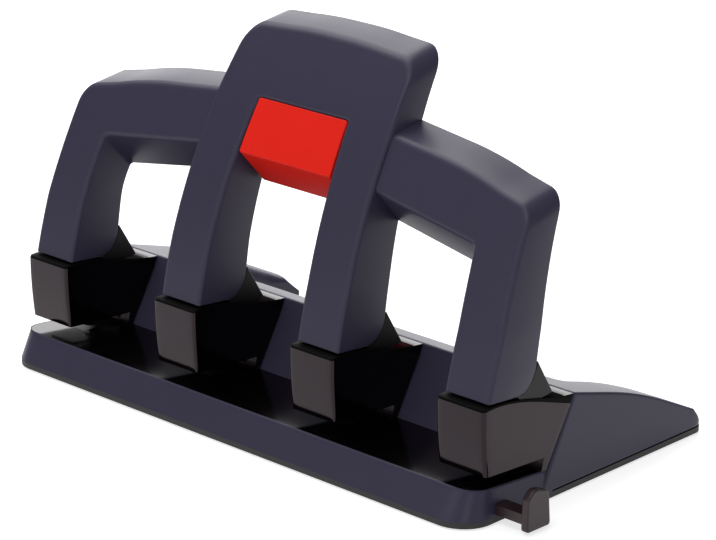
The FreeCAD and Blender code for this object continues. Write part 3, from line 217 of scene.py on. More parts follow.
def put_together(name, points, faces, material, body):
    """Mesh of points in millimetres (x, depth, z), shaded smooth up to an angle."""
    place = points * MM
    place[:, 1] -= BASE_DEPTH / 2 * MM
    polygons = [polygon for group in faces for polygon in group.tolist()]
    mesh = bpy.data.meshes.new(name)
    mesh.from_pydata(place.tolist(), [], polygons)
    mesh.validate()
    mesh.polygons.foreach_set("use_smooth", np.ones(len(mesh.polygons), bool))
    mesh.set_sharp_from_angle(angle=SHARP_ANGLE)
    mesh.materials.append(material)
    piece = bpy.data.objects.new(name, mesh)
    bpy.context.scene.collection.objects.link(piece)
    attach(piece, body)
    return piece


def join_shells(shells):
    """Several (points, faces) as one, each shell's numbers moved past the last one's."""
    points, faces, start = [], [], 0
    for shell_points, shell_faces in shells:
        points.append(shell_points)
        faces += [group + start for group in shell_faces]
        start += len(shell_points)
    return np.vstack(points), faces


# ---- the handle's curved faces -----------------------------------------------------------
def arc_through(points):
    """Depth as a function of height on the circle through three (depth, height) points."""
    (a, b), (c, d), (e, f) = points
    rows = np.array([[2 * (c - a), 2 * (d - b)], [2 * (e - a), 2 * (f - b)]])
    sums = np.array([c * c + d * d - a * a - b * b, e * e + f * f - a * a - b * b])
    depth, height = np.linalg.solve(rows, sums)
    radius = math.hypot(a - depth, b - height)
    side = 1.0 if a > depth else -1.0
    return lambda z: depth + side * np.sqrt(radius * radius - (z - height) ** 2)


# Points of the handle's side view are (depth, height).
TOE = (14.5, 49.2)
HEEL = (42.0, 47.4)
FRONT_MIDDLE = (32.6, 108.5)
FRONT_TOP = (64.6, 162.6)
REAR_MIDDLE = (54.9, 111.0)
REAR_TOP = (81.0, 164.5)
SIDE_SETBACK = 1.8
HEEL_RADIUS = 13.0
HEEL_HEIGHT = HEEL[1] + HEEL_RADIUS
HEEL_ROWS = (50.0, 52.5, 55.5, 60.4)

front_face = arc_through([TOE, FRONT_MIDDLE, FRONT_TOP])
side_front_face = arc_through([TOE, (FRONT_MIDDLE[0] + SIDE_SETBACK, FRONT_MIDDLE[1]),
                               (FRONT_TOP[0] + SIDE_SETBACK, FRONT_TOP[1])])
rear_arc = arc_through([HEEL, REAR_MIDDLE, REAR_TOP])


def rear_face(z):
    """Rear arc of the handle, run into a quarter circle at the heel of each leg.

    Under the top of the heel the depth is the arc's there, less r - sqrt(r^2 - d^2) at a
    distance d below it.
    """
    under = np.clip(HEEL_HEIGHT - z, 0.0, HEEL_RADIUS * ALMOST)
    heel = float(rear_arc(HEEL_HEIGHT)) - HEEL_RADIUS + np.sqrt(HEEL_RADIUS ** 2 - under ** 2)
    return np.where(z < HEEL_HEIGHT, heel, rear_arc(np.maximum(z, HEEL_HEIGHT)))


# A corner of the handle's front view is (x, height, radius, a, b), and its height at a
# depth is height - a * depth + b.
WINDOW_SLOPE = math.tan(math.radians(47.0))
SOLE_SLOPE = (TOE[1] - HEEL[1]) / (HEEL[0] - TOE[0])
SOLE = (SOLE_SLOPE, SOLE_SLOPE * TOE[0])
LEVEL = (0.0, 0.0)
SOLE_ROUND = 0.6
KNEE_HEIGHT = 74.2
KNEE_RADIUS = 90.0
SOLE_SHARE = 0.75       # the sole is first lowered by this share of an inset
CREST_RISE = 0.165
FACE_STEPS = 30


def ceiling(x, height, radius, face):
    """Corner on a window's upper edge: at its height on the front face, lower to the rear."""
    return (x, height, radius, WINDOW_SLOPE, WINDOW_SLOPE * float(face(height)))


def crest(x, height, radius, face):
    """Corner on the top of an arch: at its height on the front face, rising to the rear."""
    return (x, height, radius, -CREST_RISE, -CREST_RISE * float(face(height)))


def on_face(rows, face, shift):
    """Points of an outline on a curved face: z = v - a * depth + b, depth = face(z) + shift.

    The two are tried in turn, each depth halfway between the last one and the new one.
    """
    depth = face(rows[:, 1]) + shift
    for _ in range(FACE_STEPS):
        z = rows[:, 1] - rows[:, 2] * depth + rows[:, 3]
        depth = 0.5 * depth + 0.5 * (face(z) + shift)
    return np.stack([rows[:, 0], depth, rows[:, 1] - rows[:, 2] * depth + rows[:, 3]], 1)


ONTO_WALL = (0, math.pi / 2)    # from the face round to the wall, for the near edge
OFF_WALL = (math.pi / 2, 0)     # from the wall round to the face, for the far edge


def edge_arc(radius, steps, turn=ONTO_WALL):
    """Pairs (inset, shift) round an edge of radius r: r * (1 - sin t) and r * (1 - cos t)."""
    return [(radius * (1 - math.sin(t)), radius * (1 - math.cos(t)))
            for t in np.linspace(*turn, steps + 1)]


def closed_between(rings, front, rear, rear_shift, spacing):
    """Joins matching rings in turn, and fills the first and the last on their faces.

    The filling lies at depth front(z) in the first ring and rear(z) + shift in the last.
    """
    count = len(rings[0])
    points = np.vstack(rings)
    faces = wall_faces(count, len(rings))
    first = np.arange(count)
    last = first + (len(rings) - 1) * count
    for loop, face, shift, over in ((first, front, 0.0, False), (last, rear, rear_shift, True)):
        lift = lambda inner: np.stack([inner[:, 0], face(inner[:, 1]) + shift, inner[:, 1]], 1)
        points = add_sheet(points, faces, loop, [0, 2], lift, spacing, over)
    return points, faces


def leg_side(x, upwards, drop):
    """Rows up or down one straight side of a leg, close together round the heel."""
    rows = [(x, TOE[1] - drop, SOLE_ROUND) + SOLE] + [(x, z, 0.0) + LEVEL for z in HEEL_ROWS]
    rows.append((x, KNEE_HEIGHT, KNEE_RADIUS) + LEVEL)
    return rows if upwards else rows[::-1]


def other_side(corners):
    """Corners mirrored in x, still anticlockwise."""
    return [(-c[0],) + c[1:] for c in reversed(corners)]


def centre_arch_corners(drop):
    """Front view of the centre arch with both inner legs, anticlockwise."""
    right = leg_side(INNER_HOLE + LEG_HALF, True, drop) + [
        (50.3, 112.6, 400.0) + LEVEL, (49.5, 133.6, 400.0) + LEVEL,
        crest(47.5, 160.3, 10.0, front_face), crest(15.8, FRONT_TOP[1], 300.0, front_face)]
    window = leg_side(LEG_HALF - INNER_HOLE, True, drop) + [
        ceiling(-25.3, 135.1, 1.5, front_face), ceiling(25.3, 135.1, 1.5, front_face)]
    return right + other_side(right) + window + leg_side(INNER_HOLE - LEG_HALF, False, drop)


def right_arch_corners(drop):
    """Front view of the right arch with its outer leg; its inner end is in the centre arch."""
    return leg_side(OUTER_HOLE + LEG_HALF, True, drop) + [
        crest(128.1, 120.6, 9.0, side_front_face), crest(95.25, 128.4, 240.0, side_front_face),
        crest(46.6, 133.8, 0.5, side_front_face), ceiling(47.6, 112.6, 0.5, side_front_face),
        ceiling(50.3, 112.3, 0.2, side_front_face), ceiling(105.9, 104.8, 3.0, side_front_face),
    ] + leg_side(OUTER_HOLE - LEG_HALF, False, drop)


def left_arch_corners(drop):
    """Front view of the left arch, the right one's mirror image."""
    return other_side(right_arch_corners(drop))


ARCHES = ((centre_arch_corners, front_face), (right_arch_corners, side_front_face),
          (left_arch_corners, side_front_face))
ARCH_SPACING = 6.0
EDGE_ROUND = 1.9
REAR_EDGE_ROUND = 1.0
RIM_WIDTH = 2.45
COVER_DEPTH = 2.2
COVER_EDGE = 2.6
COVER_SEAT = -COVER_DEPTH + 0.03
COVER_SIDE = ((COVER_EDGE + 0.05, COVER_SEAT), (COVER_EDGE, -0.3), (COVER_EDGE + 0.09, -0.09),
              (COVER_EDGE + 0.3, 0.0))


def handle_shell_piece(material):
    """The front shell of the handle: a centre arch and two side arches set back from it.

    Each arch is the closed surface between the curved front and rear faces.  Behind, it
    is open as far in as the rear cover is let in: from the rear edge the surface runs in
    over a rim and down to the seat of the cover.
    """
    shells = []
    for draw, front in ARCHES:
        rings = []
        for inset, shift in edge_arc(EDGE_ROUND, 6):
            rows = outline(draw(SOLE_SHARE * inset), inset, like=draw(0.0))
            rings.append(on_face(rows, front, shift))
        for inset, shift in edge_arc(REAR_EDGE_ROUND, 3, OFF_WALL):
            rows = outline(draw(SOLE_SHARE * inset), inset, like=draw(0.0))
            rings.append(on_face(rows, rear_face, -shift))
        rim = outline(draw(0.0), RIM_WIDTH)
        rings.append(on_face(rim, rear_face, 0.0))
        rings.append(on_face(rim, rear_face, -COVER_DEPTH))
        shells.append(closed_between(rings, front, rear_face, -COVER_DEPTH, ARCH_SPACING))
    points, faces = join_shells(shells)
    return put_together("handle_shell_front", points, faces, material, "handle")


def rear_cover_piece(material):
    """Rear cover of the handle, let into its shell and following the curved rear face."""
    seat = lambda z: rear_face(z) + COVER_SEAT
    shells = []
    for draw, _ in ARCHES:
        rings = [on_face(outline(draw(0.0), inset), rear_face, shift) for inset, shift in COVER_SIDE]
        shells.append(closed_between(rings, seat, rear_face, 0.0, ARCH_SPACING))
    points, faces = join_shells(shells)
    return put_together("handle_rear_cover", points, faces, material, "handle")


BLOCK_SPACING = 4.0
BLOCK_FRONT_SETBACK = 0.5
BLOCK_REAR_SETBACK = 1.0
BLOCK_ROUND = 0.7


def red_block_piece(material):
    """Block in the top of the centre window, wedge-shaped under, with rounded edges.

    It is closed between the handle's front and rear faces, each moved in by a setback.
    """
    corners = [ceiling(-26.05, 113.5, 1.0, front_face), ceiling(26.05, 113.5, 1.0, front_face),
               ceiling(25.1, 134.95, 1.2, front_face), ceiling(-25.1, 134.95, 1.2, front_face)]
    front = lambda z: front_face(z) + BLOCK_FRONT_SETBACK
    rear = lambda z: rear_face(z) - BLOCK_REAR_SETBACK
    rings = [on_face(outline(corners, inset, BLOCK_SPACING), front, shift)
             for inset, shift in edge_arc(BLOCK_ROUND, 5)]
    rings += [on_face(outline(corners, inset, BLOCK_SPACING), rear, -shift)
              for inset, shift in edge_arc(BLOCK_ROUND, 5, OFF_WALL)]
    points, faces = closed_between(rings, front, rear, 0.0, BLOCK_SPACING)
    return put_together("red_centre_block", points, faces, material, "handle")


# ---- straight forms -----------------------------------------------------------------------
def side_form(corners, x0, x1, edge, spacing=5.0, steps=4, first_edge=None, stations=()):
    """Closed body of a side outline (depth, height) between two x places, edges rounded.

    The outline is drawn in by edge * (1 - sin t) while x moves in by edge * (1 - cos t).
    """
    first_edge = edge if first_edge is None else first_edge
    rings = [(outline(corners, inset, spacing), x0 + shift)
             for inset, shift in edge_arc(first_edge, steps)]
    rings += [(outline(corners, 0.0, spacing), x) for x in stations]
    rings += [(outline(corners, inset, spacing), x1 - shift)
              for inset, shift in edge_arc(edge, steps, OFF_WALL)]
    count = len(rings[0][0])
    points = np.vstack([np.stack([np.full(count, x), rows[:, 0], rows[:, 1]], 1) for rows, x in rings])
    faces = turned_over(wall_faces(count, len(rings)))
    for index, over in ((0, True), (len(rings) - 1, False)):
        place = rings[index][1]
        lift = lambda inner: np.stack([np.full(len(inner), place), inner[:, 0], inner[:, 1]], 1)
        points = add_sheet(points, faces, np.arange(count) + index * count, [1, 2], lift, spacing, over)
    return points, faces


def lifted(height):
    """Turns plan points (x, depth) into points at a height that depends on the depth."""
    return lambda plan: np.column_stack([plan[:, :2], height(plan[:, 1])])


HALF_FRONT = 134.6
HALF_REAR = 131.2
FRONT_BEVEL = 6.0
END_BEVEL = 1.6
RIM_HEIGHT = 15.6
TOP_SLOPE = math.tan(math.radians(3.65))
PLATE_REAR = 53.0
PLATE_CORNER = 14.0
TABLE_RIM = 0.8
TABLE_REAR = 50.1
TABLE_CORNER = 9.0
TABLE_REAR_CORNER = 1.0


def top_height(depth):
    """Height of the sloping top of the base in front of its raised body."""
    return RIM_HEIGHT - TOP_SLOPE * (depth - FRONT_BEVEL)


BAND_TOP = 3.2


def band_height(depth):
    """Height of the base's lower edge, the same at every depth."""
    return np.full(len(depth), BAND_TOP)


def half_width(depth):
    """Half width of the base along its bottom edge."""
    return HALF_FRONT - (HALF_FRONT - HALF_REAR) * depth / BASE_DEPTH


def plate_corners(front, end):
    """Plan (x, depth) of the front plate of the base, drawn in from its bottom edge."""
    half_front, half_rear = HALF_FRONT - end, half_width(PLATE_REAR) - end
    radius = PLATE_CORNER - max(front, end) / 2
    return [(-half_front, front, radius), (half_front, front, radius),
            (half_rear, PLATE_REAR, SHARP), (-half_rear, PLATE_REAR, SHARP)]


def table_corners(gap):
    """Plan (x, depth) of the recess for the table, a gap wider than the table all round."""
    front = FRONT_BEVEL + TABLE_RIM
    half_front = HALF_FRONT - END_BEVEL - TABLE_RIM
    half_rear = half_front - (HALF_FRONT - HALF_REAR) * (TABLE_REAR - front) / BASE_DEPTH
    return [(-half_front - gap, front - gap, TABLE_CORNER + gap),
            (half_front + gap, front - gap, TABLE_CORNER + gap),
            (half_rear + gap, TABLE_REAR + gap, TABLE_REAR_CORNER + gap),
            (-half_rear - gap, TABLE_REAR + gap, TABLE_REAR_CORNER + gap)]


TABLE_SEAT = 1.82
TABLE_LEDGE = 4.0
RECESS_SIDE = ((0.5, 0.0), (0.35, 0.08), (0.15, 0.4), (0.15, TABLE_SEAT), (-TABLE_LEDGE, TABLE_SEAT))
TOP_ROUND = 0.9
TOP_ROUND_SHARE = 0.45  # the most of the bevel that its rounded edge takes up
FOOT_EDGE = 0.25
FOOT_EDGE_SHARE = 0.1
BASE_SPACING = 5.0
TOP_SPACING = 15.0


def plate_shell():
    """Front plate of the base: a ring from its bottom edge up the bevel, over a rounded edge,
    in across the sloping top, and down the recess of the table to its ledge.

    The bevel runs straight from the bottom loop to the top loop.  The rounded edge blends
    from the bevel to the top as p(s) = (1-s)^2 a + 2s(1-s) b + s^2 c, with b the sharp edge.
    """
    foot = plate_corners(0, 0)
    top = plate_corners(FRONT_BEVEL, END_BEVEL)
    low = lifted(band_height)(outline(foot, 0, BASE_SPACING))
    high = lifted(top_height)(outline(top, 0, BASE_SPACING, like=foot))
    inner = lifted(top_height)(outline(top, TOP_ROUND, BASE_SPACING, like=foot))
    reach = np.linalg.norm(high - low, axis=1, keepdims=True)
    start = high + (low - high) * np.minimum(TOP_ROUND / reach, TOP_ROUND_SHARE)
    rings = [low, low + (high - low) * np.minimum(FOOT_EDGE / reach, FOOT_EDGE_SHARE)]
    for s in np.linspace(0, 1, 6):
        rings.append((1 - s) ** 2 * start + 2 * s * (1 - s) * high + s * s * inner)
    count = len(low)
    points = np.vstack(rings)
    faces = wall_faces(count, len(rings))
    recess = []
    for gap, drop in RECESS_SIDE:
        loop = outline(table_corners(gap), 0, BASE_SPACING, like=table_corners(0))
        recess.append(lifted(lambda depth: top_height(depth) - drop)(loop))
    recess.append(lifted(band_height)(recess[-1]))
    hole_count = len(recess[0])
    first_hole = np.arange(hole_count) + len(points)
    last_hole = first_hole + (len(recess) - 1) * hole_count
    faces += wall_faces(hole_count, len(recess), len(points))
    points = np.vstack([points] + recess)
    last_ring = np.arange(count) + (len(rings) - 1) * count
    points = add_sheet(points, faces, last_ring, [0, 1], lifted(top_height), TOP_SPACING,
                       holes=[first_hole])
    points = add_sheet(points, faces, np.arange(count), [0, 1], lifted(band_height), TOP_SPACING,
                       True, [last_hole])
    return points, faces


# Corners of the raised body's side view are (depth, height, radius).
FOOT_ROUND = 0.05
WALL_FOOT = (45.35, BAND_TOP, FOOT_ROUND)
RIDGE = (66.2, 41.2, 1.2)
ARM_BEND = (108.6, 30.0, 300.0)
ARM_END = (148.0, 11.8, 1.5)
ARM_LAST_HEIGHT = 4.0
ARM_INNER = 107.6
MIDDLE_REAR = 79.5
MIDDLE_ROUND = 1.0
MIDDLE_SPACING = 6.0
END_LEAN = 1.0 / 39.0
REAR_CORNER = 7.0
ARM_ROUND = 9.0
ARM_ROUND_SHARE = 0.75
ARM_EDGE = 1.3
ARM_SPACING = 2.5
ROUND_START = 8.0       # the inner edge takes its full rounding over this depth
ROUND_END = 20.0        # and loses it again over this depth before the rear edge
ROUND_STATIONS = np.linspace(0.25, math.pi / 2, 6)


def quarter_fall(distance, radius):
    """r - sqrt(r^2 - d^2), the fall of a quarter circle at a distance d into it."""
    within = np.clip(distance, 0, radius * ALMOST)
    return radius - np.sqrt(radius ** 2 - within ** 2)


def raised_shells():
    """Raised body behind the towers: a middle part and an arm at each end.

    Each is a side outline run along x.  The inner edge of an arm's top is let down by a
    quarter circle's fall.  The outer side is then brought to the half width of the base at
    its depth, less a lean of one in 39, and less a quarter circle's fall over the last
    part of its length, which rounds the rear corner.
    """
    share = (MIDDLE_REAR - RIDGE[0]) / (ARM_BEND[0] - RIDGE[0])
    middle_top = RIDGE[1] + (ARM_BEND[1] - RIDGE[1]) * share
    middle = [(MIDDLE_REAR, BAND_TOP, FOOT_ROUND), (MIDDLE_REAR, middle_top, MIDDLE_ROUND), RIDGE, WALL_FOOT]
    arm = [(BASE_DEPTH, BAND_TOP, FOOT_ROUND), ARM_END, ARM_BEND, RIDGE, WALL_FOOT]
    shells = [side_form(middle, -ARM_INNER, ARM_INNER, SHARP, MIDDLE_SPACING, 1)]
    stations = ARM_INNER + ARM_ROUND * (1 - np.cos(ROUND_STATIONS))
    points, faces = side_form(arm, ARM_INNER, HALF_FRONT, ARM_EDGE, ARM_SPACING, 5, SHARP, stations)
    depth, height = points[:, 1].copy(), points[:, 2].copy()
    top = np.interp(depth, (RIDGE[0], ARM_BEND[0], ARM_END[0], BASE_DEPTH),
                    (RIDGE[1], ARM_BEND[1], ARM_END[1], ARM_LAST_HEIGHT))
    share = np.clip((depth - MIDDLE_REAR) / ROUND_START, 0, 1)
    share = share * np.clip((BASE_DEPTH - depth) / ROUND_END, 0, 1)
    fall = quarter_fall(ARM_INNER + ARM_ROUND - points[:, 0], ARM_ROUND)
    points[:, 2] -= fall * ARM_ROUND_SHARE * share * np.clip((height - BAND_TOP) / (top - BAND_TOP), 0, 1)
    corner = quarter_fall(depth - (BASE_DEPTH - REAR_CORNER), REAR_CORNER)
    outer = half_width(depth) - END_LEAN * (height - BAND_TOP) - corner
    points[:, 0] = ARM_INNER + (points[:, 0] - ARM_INNER) * (outer - ARM_INNER) / (HALF_FRONT - ARM_INNER)
    shells.append((points, faces))
    shells.append((points * (-1, 1, 1), turned_over(faces)))
    return shells


def base_shell_piece(material):
    """Top shell of the base: the front plate with the raised body behind it."""
    points, faces = join_shells([plate_shell()] + raised_shells())
    return put_together("base_top_shell", points, faces, material, "base")


# ---- punch towers ---------------------------------------------------------------------------
TOWER_LIP = 47.9        # the front wall stands upright above this height
tower_front_face = arc_through([(13.3, 20.0), (11.9, 31.0), (11.0, TOWER_LIP)])
TOWER_FOOT = (50.4, 12.8)
TOWER_REAR_TOP = (66.0, 41.0)
TOWER_HALF = 12.4
TOWER_CORNER = 1.6
TOWER_REAR_CORNER = 1.0
TOWER_LEVELS = 9
TOWER_SPACING = 3.0
PLAN_LENGTH = 50.0      # a tower's plan is drawn this long and then fitted between its walls
FIRST_DEPTHS = (12.0, 62.0)
DEPTH_STEPS = 8
BACK_STOP = 47.0
SLOT_FRONT = 13.3
SLOT_ROOF = 18.7
SLOT_RISE = 1.3
ROOF_SHARE = 0.832      # the slot's roof ends at this share of the way to the rear wall
FOOT_SHARE = 0.898      # and the foot starts at this one
PANEL_TOP = np.polyfit((11.0, 19.3, 34.3, 43.4, 65.7), (47.2, 47.6, 45.8, 43.4, 36.9), 3)
ROOF_TOP = np.polyfit((11.0, 20.0, 38.0, 66.0), (48.05, 48.45, 45.9, 41.0), 3)
BAND_STEP = 0.25
SHOULDER = 0.55
BAND_RINGS = ((0.03, 0.0), (BAND_STEP, 0.02), (BAND_STEP, 0.8), (BAND_STEP + 0.1, 0.94), (SHOULDER, 1.0))
MOUTH_HALF = 11.7
MOUTH_FRONT = 21.0
MOUTH_REAR = 60.5
MOUTH_SLOPE = 4.3
MOUTH_CORNER = 1.0
MOUTH_SPACING = 2.5
MOUTH_DEPTH = 4.0
MOUTH_RINGS = ((0.2, 0.0), (0.06, 0.06), (0.0, 0.2), (0.0, 2.0), (0.0, MOUTH_DEPTH))
POCKET_FLOOR = 22.0
# The rim's painted shade covers the roof and the mouth as far back as the depth below.
PAINTED_SHADE_TO = 57.0          # the roof and the mouth are dull as far back as this
BORE_RADIUS = 3.4
BORE_POINTS = 20


def tower_rear(z):
    """Depth of the slanted rear wall at a height."""
    foot, foot_z = TOWER_FOOT
    return foot + (TOWER_REAR_TOP[0] - foot) * (z - foot_z) / (TOWER_REAR_TOP[1] - foot_z)


def panel_top(depth):
    """Height of the upper edge of the glossy walls."""
    return np.polyval(PANEL_TOP, depth)


def roof_top(depth):
    """Height of the dull roof round the mouth."""
    return np.polyval(ROOF_TOP, depth)


def pocket_floor(depth):
    """Height of the floor under the mouth, the same at every depth."""
    return np.full(len(depth), POCKET_FLOOR)


def slot_roof(depth):
    """Height of the paper slot's roof, which rises in a straight line to the front."""
    return SLOT_ROOF + (BACK_STOP - depth) / (BACK_STOP - SLOT_FRONT) * SLOT_RISE


def under_roof(share):
    """True where a share of the way to the rear wall lies under the slot's roof."""
    return share < (ROOF_SHARE + FOOT_SHARE) / 2


def tower_plan(inset):
    """Plan loop (x, s) of a tower: a rounded rectangle, s from 0 at the front to 1 at the rear."""
    roof_end, foot_start = ROOF_SHARE * PLAN_LENGTH, FOOT_SHARE * PLAN_LENGTH
    plan = [(-TOWER_HALF, 0.0, TOWER_CORNER), (TOWER_HALF, 0.0, TOWER_CORNER),
            (TOWER_HALF, roof_end, 0.0), (TOWER_HALF, foot_start, 0.0),
            (TOWER_HALF, PLAN_LENGTH, TOWER_REAR_CORNER), (-TOWER_HALF, PLAN_LENGTH, TOWER_REAR_CORNER),
            (-TOWER_HALF, foot_start, 0.0), (-TOWER_HALF, roof_end, 0.0)]
    loop = outline(plan, inset, TOWER_SPACING)[:, :2]
    return loop[:, 0], loop[:, 1] / PLAN_LENGTH


def tower_ring(x_middle, inset, height):
    """Loop round a tower at a height that depends on the depth and the share s of its plan.

    A point lies at depth (1 - s) * front(z) + s * rear(z), found by trying it in turn.
    """
    x, s = tower_plan(inset)
    depth = FIRST_DEPTHS[0] * (1 - s) + FIRST_DEPTHS[1] * s
    for _ in range(DEPTH_STEPS):
        z = height(depth, s)
        depth = (1 - s) * tower_front_face(np.minimum(z, TOWER_LIP)) + s * tower_rear(z)
    return np.column_stack([x + x_middle, depth, height(depth, s)])


def mouth_corners(inset, rear):
    """Plan of the mouth that the leg swings in, an inset wider all round."""
    return [(-MOUTH_HALF - inset, MOUTH_FRONT - inset, MOUTH_CORNER),
            (MOUTH_HALF + inset, MOUTH_FRONT - inset, MOUTH_CORNER),
            (MOUTH_HALF + inset, rear + inset, MOUTH_CORNER),
            (-MOUTH_HALF - inset, rear + inset, MOUTH_CORNER)]


def mouth_ring(x_middle, inset, drop):
    """Loop of the mouth at a drop below the roof; its rear end slopes forward on the way down."""
    rear = MOUTH_REAR - MOUTH_SLOPE * min(1.0, drop / MOUTH_DEPTH)
    loop = outline(mouth_corners(inset, rear), 0, MOUTH_SPACING, like=mouth_corners(0, MOUTH_REAR))
    return np.column_stack([loop[:, 0] + x_middle, loop[:, 1], roof_top(loop[:, 1]) - drop])


def tower_shell(x_middle):
    """One tower: outer walls, a rounded shoulder up to the roof, and a pocket under the mouth.

    The walls' rings run from the lower edge up to the panel's top by (1 - t) * low + t * top,
    and those of the band from there up to the roof.  The lower edge is closed by the slot's
    roof, a step at the back stop and the foot, and a bore lets the pin through.
    Also returns True for each face of the matt black rim, whose near-black colour is painted shade.
    """
    low = lambda d, s: np.where(under_roof(s), slot_roof(d), top_height(d))
    rings = [tower_ring(x_middle, 0.0, lambda d, s: low(d, s) * (1 - t) + panel_top(d) * t)
             for t in np.linspace(0, 1, TOWER_LEVELS)]
    rings += [tower_ring(x_middle, inset, lambda d, s: panel_top(d) + (roof_top(d) - panel_top(d)) * rise)
              for inset, rise in BAND_RINGS]
    count = len(rings[0])
    points = np.vstack(rings)
    faces = wall_faces(count, len(rings))
    band = np.arange(len(faces) - len(BAND_RINGS), len(faces))
    outer_top = np.arange(count) + (len(rings) - 1) * count
    mouth = [mouth_ring(x_middle, inset, drop) for inset, drop in MOUTH_RINGS]
    mouth.append(lifted(pocket_floor)(mouth[-1]))
    hole_count = len(mouth[0])
    hole = np.arange(hole_count) + len(points)
    pocket = hole + (len(mouth) - 1) * hole_count
    faces += wall_faces(hole_count, len(mouth), len(points))
    points = np.vstack([points] + mouth)
    points = add_sheet(points, faces, outer_top, [0, 1], lifted(roof_top), TOWER_SPACING, holes=[hole])
    upper = np.arange(band[-1] + 1, len(faces))

    # The first ring is split where it steps down behind the back stop, and a quad is the step.
    at_roof = under_roof(tower_plan(0.0)[1])
    roof_end = np.flatnonzero(at_roof & ~np.roll(at_roof, -1))[0]
    foot_end = np.flatnonzero(~at_roof & np.roll(at_roof, -1))[0]
    foot = np.arange(roof_end + 1, foot_end + 1)
    slot = np.concatenate([np.arange(foot_end + 1, count), np.arange(roof_end + 1)])
    faces.append(np.array([[slot[0], slot[-1], foot[0], foot[-1]]])[:, ::-1])

    turn = np.linspace(0, 2 * math.pi, BORE_POINTS, endpoint=False)
    bore = np.column_stack([x_middle + BORE_RADIUS * np.cos(turn), PIN_DEPTH + BORE_RADIUS * np.sin(turn)])
    bore_top = np.arange(BORE_POINTS) + len(points)
    bore_low = bore_top + BORE_POINTS
    points = np.vstack([points, lifted(pocket_floor)(bore), lifted(slot_roof)(bore)])
    faces.append(ring_faces(bore_top, bore_low))
    for loop, holes, height, over in ((pocket, [bore_top], pocket_floor, False),
                                      (slot, [bore_low], slot_roof, True), (foot, [], top_height, True)):
        points = add_sheet(points, faces, loop, [0, 1], lifted(height), TOWER_SPACING, over, holes)
    # Faces of painted shade: the shoulder band, and the roof and mouth near the front.
    painted_shade = [np.full(len(group), i in band) | (i in upper) & (points[group].mean(1)[:, 1] < PAINTED_SHADE_TO)
            for i, group in enumerate(faces)]
    return points, faces, np.concatenate(painted_shade)


def tower_piece(number, material, shade_rim_material):
    """Glossy tower with a matt black rim that is painted shade, the rim's faces in a second material."""
    points, faces, painted_shade = tower_shell(HOLE_XS[number - 1])
    piece = put_together("tower_cover_%d_moulded" % number, points, faces, material, "base")
    piece.data.materials.append(shade_rim_material)
    piece.data.polygons.foreach_set("material_index", painted_shade.astype(np.int32))
    return piece


# ---- covers behind the feet of the legs ---------------------------------------------------
DRUM_CHEEK = 3.1
DRUM_SKIN_LOOP = ((53.13, 44.81, 0.3), (43.4, 60.1, 0.1), (41.55, 58.9, 0.1), (50.95, 44.5, 0.1))
DRUM_CHEEK_LOOP = ((34.9, 42.25, 0.1), (53.13, 44.81, 0.3), (43.4, 60.1, 0.1), (42.8, 58.3, 0.1),
                   (40.8, 53.5, 0.1), (37.0, 50.0, 0.1), (32.0, 48.45, 0.1), (31.2, 48.4, 0.1),
                   (33.8, 45.5, 0.1))
DRUM_EDGE = 0.35
DRUM_SPACING = 3.0


def drum_cover_piece(number, material):
    """Wedge behind the foot of a leg: a flat skin running down from it, and a cheek at each side."""
    inner = LEG_HALF - DRUM_CHEEK
    skin = side_form(DRUM_SKIN_LOOP, -inner, inner, SHARP, DRUM_SPACING, 1)
    points, faces = side_form(DRUM_CHEEK_LOOP, inner, LEG_HALF, DRUM_EDGE, DRUM_SPACING, 3, SHARP)
    mirrored = points * (-1, 1, 1), turned_over(faces)
    points, faces = join_shells([skin, (points, faces), mirrored])
    points = points + (HOLE_XS[number - 1], 0, 0)
    return put_together("drum_cover_%d_moulded" % number, points, faces, material, "handle")


# ---- coil springs -----------------------------------------------------------------------------
SPRING_LOW = 22.4
SPRING_HIGH = 35.2
SPRING_RADIUS = 3.7
SPRING_TURNS = 7.0
SPRING_CLOSED = 0.8     # the turns that lie level at each end
SPRING_STEPS = 361
WIRE_RADIUS = 0.45
WIRE_POINTS = 8


def spring_piece(number, material):
    """Compression coil: a wire of radius w round a helix of radius R, with closed ends.

    The centre line turns by 2 pi n t while its height climbs evenly between two level ends,
    and the wire's section is carried along it.
    """
    t = np.linspace(0, 1, SPRING_STEPS)
    climb = np.clip((t * SPRING_TURNS - SPRING_CLOSED) / (SPRING_TURNS - 2 * SPRING_CLOSED), 0, 1)
    angle = 2 * math.pi * SPRING_TURNS * t
    z = SPRING_LOW + WIRE_RADIUS + (SPRING_HIGH - SPRING_LOW - 2 * WIRE_RADIUS) * climb
    around = np.linspace(0, 2 * math.pi, WIRE_POINTS + 1)[:-1]
    out = SPRING_RADIUS + WIRE_RADIUS * np.cos(around)[None, :]
    x = out * np.cos(angle)[:, None] + HOLE_XS[number - 1]
    y = out * np.sin(angle)[:, None] + PIN_DEPTH
    height = z[:, None] + WIRE_RADIUS * np.sin(around)[None, :]
    points = np.stack([x, y, height], 2).reshape(-1, 3)
    faces = turned_over(wall_faces(WIRE_POINTS, SPRING_STEPS))
    first = np.arange(WIRE_POINTS)[None, :]
    faces += [first, (first + (SPRING_STEPS - 1) * WIRE_POINTS)[:, ::-1]]
    piece = put_together("return_coil_%d" % number, points, faces, material, "base")
    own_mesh(piece)
    return piece


# ---- paper guide --------------------------------------------------------------------------------
STOP_LOOP = ((16.6, 1.4, 1.5), (30.6, 1.4, 1.5), (29.1, 16.5, 4.0), (20.6, 19.0, 4.0), (16.6, 15.0, 3.0))
STOP_INNER = 147.7
STOP_OUTER = 151.3
STOP_EDGE = 0.8


def guide_stop_piece(material):
    """Rounded upright plate at the end of the guide bar."""
    points, faces = side_form(STOP_LOOP, STOP_INNER, STOP_OUTER, STOP_EDGE)
    return put_together("guide_end_stop", points, faces, material, "paper_guide")


# ---- finishes -------------------------------------------------------------------------------------
BROAD_GRAIN = 12.0      # the mottle is this much broader than the grain
BROAD_DETAIL = 3.0
FINE_DETAIL = 2.0
ROUGHNESS_SPREAD = 0.1


